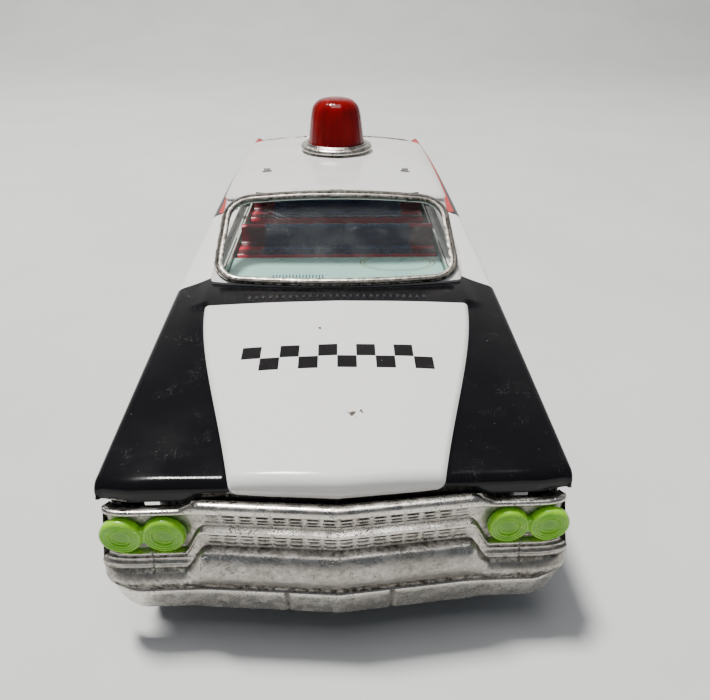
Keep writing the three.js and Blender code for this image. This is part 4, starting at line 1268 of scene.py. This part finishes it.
def beacon():
    """A ribbed hollow dome on its turned flange."""
    base, top = dome_low.z, dome_high.z
    centre = (0, (dome_low.y + dome_high.y) / 2, 0)
    outer = [
        (11.3, base), (11.15, base + 0.8, 0.3), (9.9, top - 6.5, 4), (9.0, top - 3.0, 2.6),
        (6.6, top - 0.8, 2.4), (3, top - 0.08, 2), (0.02, top),
    ]
    inner = [(0.02, top - 1.2), (6, top - 2, 1.5), (8, top - 5.3, 2), (9.7, base), (11.3, base)]
    dome = turned("dome", centre, "Z", curved(outer + inner, 4), 96, waves=24, wave_height=0.05)
    finished(dome, DOME, ["beacon_dome"], angle=50)
    z = millimetres("beacon_flange")[0].z
    profile = curved([
        (3.4, z + 0.9), (3.4, z + 1.7), (10.9, z + 1.95, 0.3), (11.4, z + 2.7, 0.4), (12.1, z + 2.8, 0.3),
        (12.6, z + 2.15, 0.3), (13.4, z + 2.05, 0.3), (14.25, z + 1.6, 0.5), (14.5, z + 0.5, 0.3),
        (14.0, z, 0.2), (12.6, z + 0.9, 0.2), (3.4, z + 0.9),
    ], 4)
    flange = turned("flange", centre, "Z", profile, 96, closed=True, waves=5, wave_height=0.03)
    finished(flange, CHROME, ["beacon_flange"], angle=40)


# ---- CAD nodes that are shown as they are ----


def carried(nodes, look, bevel=0):
    """Shows CAD nodes as they are, with their edges softened by a bevel in millimetres."""
    for name in nodes:
        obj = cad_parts[name]
        if bevel:
            edge = obj.modifiers.new("edge", "BEVEL")
            edge.width = bevel * MM
            edge.segments = 2
            edge.limit_method = "ANGLE"
            edge.angle_limit = math.radians(32)
        obj.data.materials.clear()
        obj.data.materials.append(look)


# ---- The whole object ----

PAINT = body_paint()
WHITE_ENAMEL = white_enamel()
BLACK_ENAMEL = black_enamel()
CHROME = worn_chrome("worn_chrome")
# Chrome for the pieces that carry painted shade in their recesses: the grille and the window frames
SHADED_CHROME = worn_chrome("painted_shade_chrome", with_painted_shade=True)
STEEL = bare_metal("steel", STEEL_GREY)
BRASS = bare_metal("brass", BRASS_YELLOW, 0.3)
TIN = bare_metal("bare_tin", PLAIN_TIN, 0.3, (6, 1, 1))
RUBBER = rubber()
CLEAR = clear_sheet()
GREEN = lens_green()
DOME = lens_red()
CABIN = cabin_print()
SEATS = seat_print()

body()
cowl_louvres()
greenhouse()
window_frame("windshield_frame", -1)
window_frame("rear_window_frame", 1)
dash()
seat("front_seat")
seat("rear_seat")
grille()
lens_pair("right_headlamp_lens")
lens_pair("left_headlamp_lens")
for axle_name in WHEELS:
    for label, side in (("left", 1), ("right", -1)):
        wheel(axle_name, label, side)
beacon()

carried(["windshield_pane", "rear_window_pane", "left_side_pane", "right_side_pane"], CLEAR)
carried(["interior_tub"], CABIN, 0.2)
carried(["rear_bumper"], CHROME, 0.3)
carried(["left_tail_lamp", "right_tail_lamp"], DOME, 0.2)
carried(["base_plate", "motor_left_plate", "motor_right_plate"], TIN, 0.15)
carried(["roof_brace", "front_axle_bracket", "beacon_eyelet"], STEEL, 0.12)
carried(["front_axle", "rear_axle"], STEEL, 0.12)
carried(["motor_pillar_1", "motor_pillar_2", "motor_pillar_3", "flywheel"], STEEL, 0.1)
carried(["axle_gear", "layshaft_gear"], BRASS, 0.06)


# ---- Stage, light and camera ----


def floor():
    """A pale sweep, flat round the car and curved up well behind it."""
    rise = []
    for k in range(17):
        turn = k * math.pi / 32
        rise.append((900 + 700 * math.sin(turn), 700 * (1 - math.cos(turn))))
    profile = [(-3000, 0), *rise, (1600, 3000)]
    points = [(x, y, z) for y, z in profile for x in (-3000, 3000)]
    made = raw_object("floor", points, grid_faces(len(profile), 2))
    made.data.shade_smooth()
    made.data.materials.append(floor_grey())


def area_light(name, place, target, size, power, colour):
    data = bpy.data.lights.new(name, "AREA")
    data.shape = "DISK"
    data.size = size
    data.energy = power
    data.color = colour
    light = bpy.data.objects.new(name, data)
    light.location = place
    light.rotation_euler = (Vector(target) - Vector(place)).to_track_quat("-Z", "Y").to_euler()
    scene.collection.objects.link(light)


def sky():
    world = bpy.data.worlds.new("sky")
    world.use_nodes = True
    scene.world = world
    background = world.node_tree.nodes["Background"]
    background.inputs["Color"].default_value = (0.80, 0.88, 1.0, 1)
    background.inputs["Strength"].default_value = 0.16


CAMERA_PLACE = (1.73, -226.28, 134.48)


def camera():
    """Stands ahead of the car and above it, looking back along it and down."""
    yaw, pitch, roll = math.radians(3.193), math.radians(31.69), math.radians(0.825)
    ahead = Vector((math.sin(yaw) * math.cos(pitch), math.cos(yaw) * math.cos(pitch), -math.sin(pitch)))
    right = Vector((math.cos(yaw), -math.sin(yaw), 0))
    up = right.cross(ahead)
    rolled_right = math.cos(roll) * right + math.sin(roll) * up
    rolled_up = -math.sin(roll) * right + math.cos(roll) * up
    data = bpy.data.cameras.new("camera")
    data.sensor_width = 36
    data.lens = 30.4225
    data.shift_x = -0.02435
    data.shift_y = 0.00437
    data.clip_start = 0.005
    data.clip_end = 20
    seen = bpy.data.objects.new("camera", data)
    matrix = Matrix((rolled_right, rolled_up, -ahead)).transposed().to_4x4()
    matrix.translation = Vector(CAMERA_PLACE) * MM
    seen.matrix_world = matrix
    scene.collection.objects.link(seen)
    scene.camera = seen


floor()
area_light("key", (-0.40, 0.26, 1.72), (0, -0.06, 0.03), 0.30, 62, (1.0, 0.98, 0.95))
area_light("overhead", (0.0, -0.2, 1.5), (0, -0.3, 0), 0.8, 6, (1.0, 1.0, 1.0))
sky()
camera()
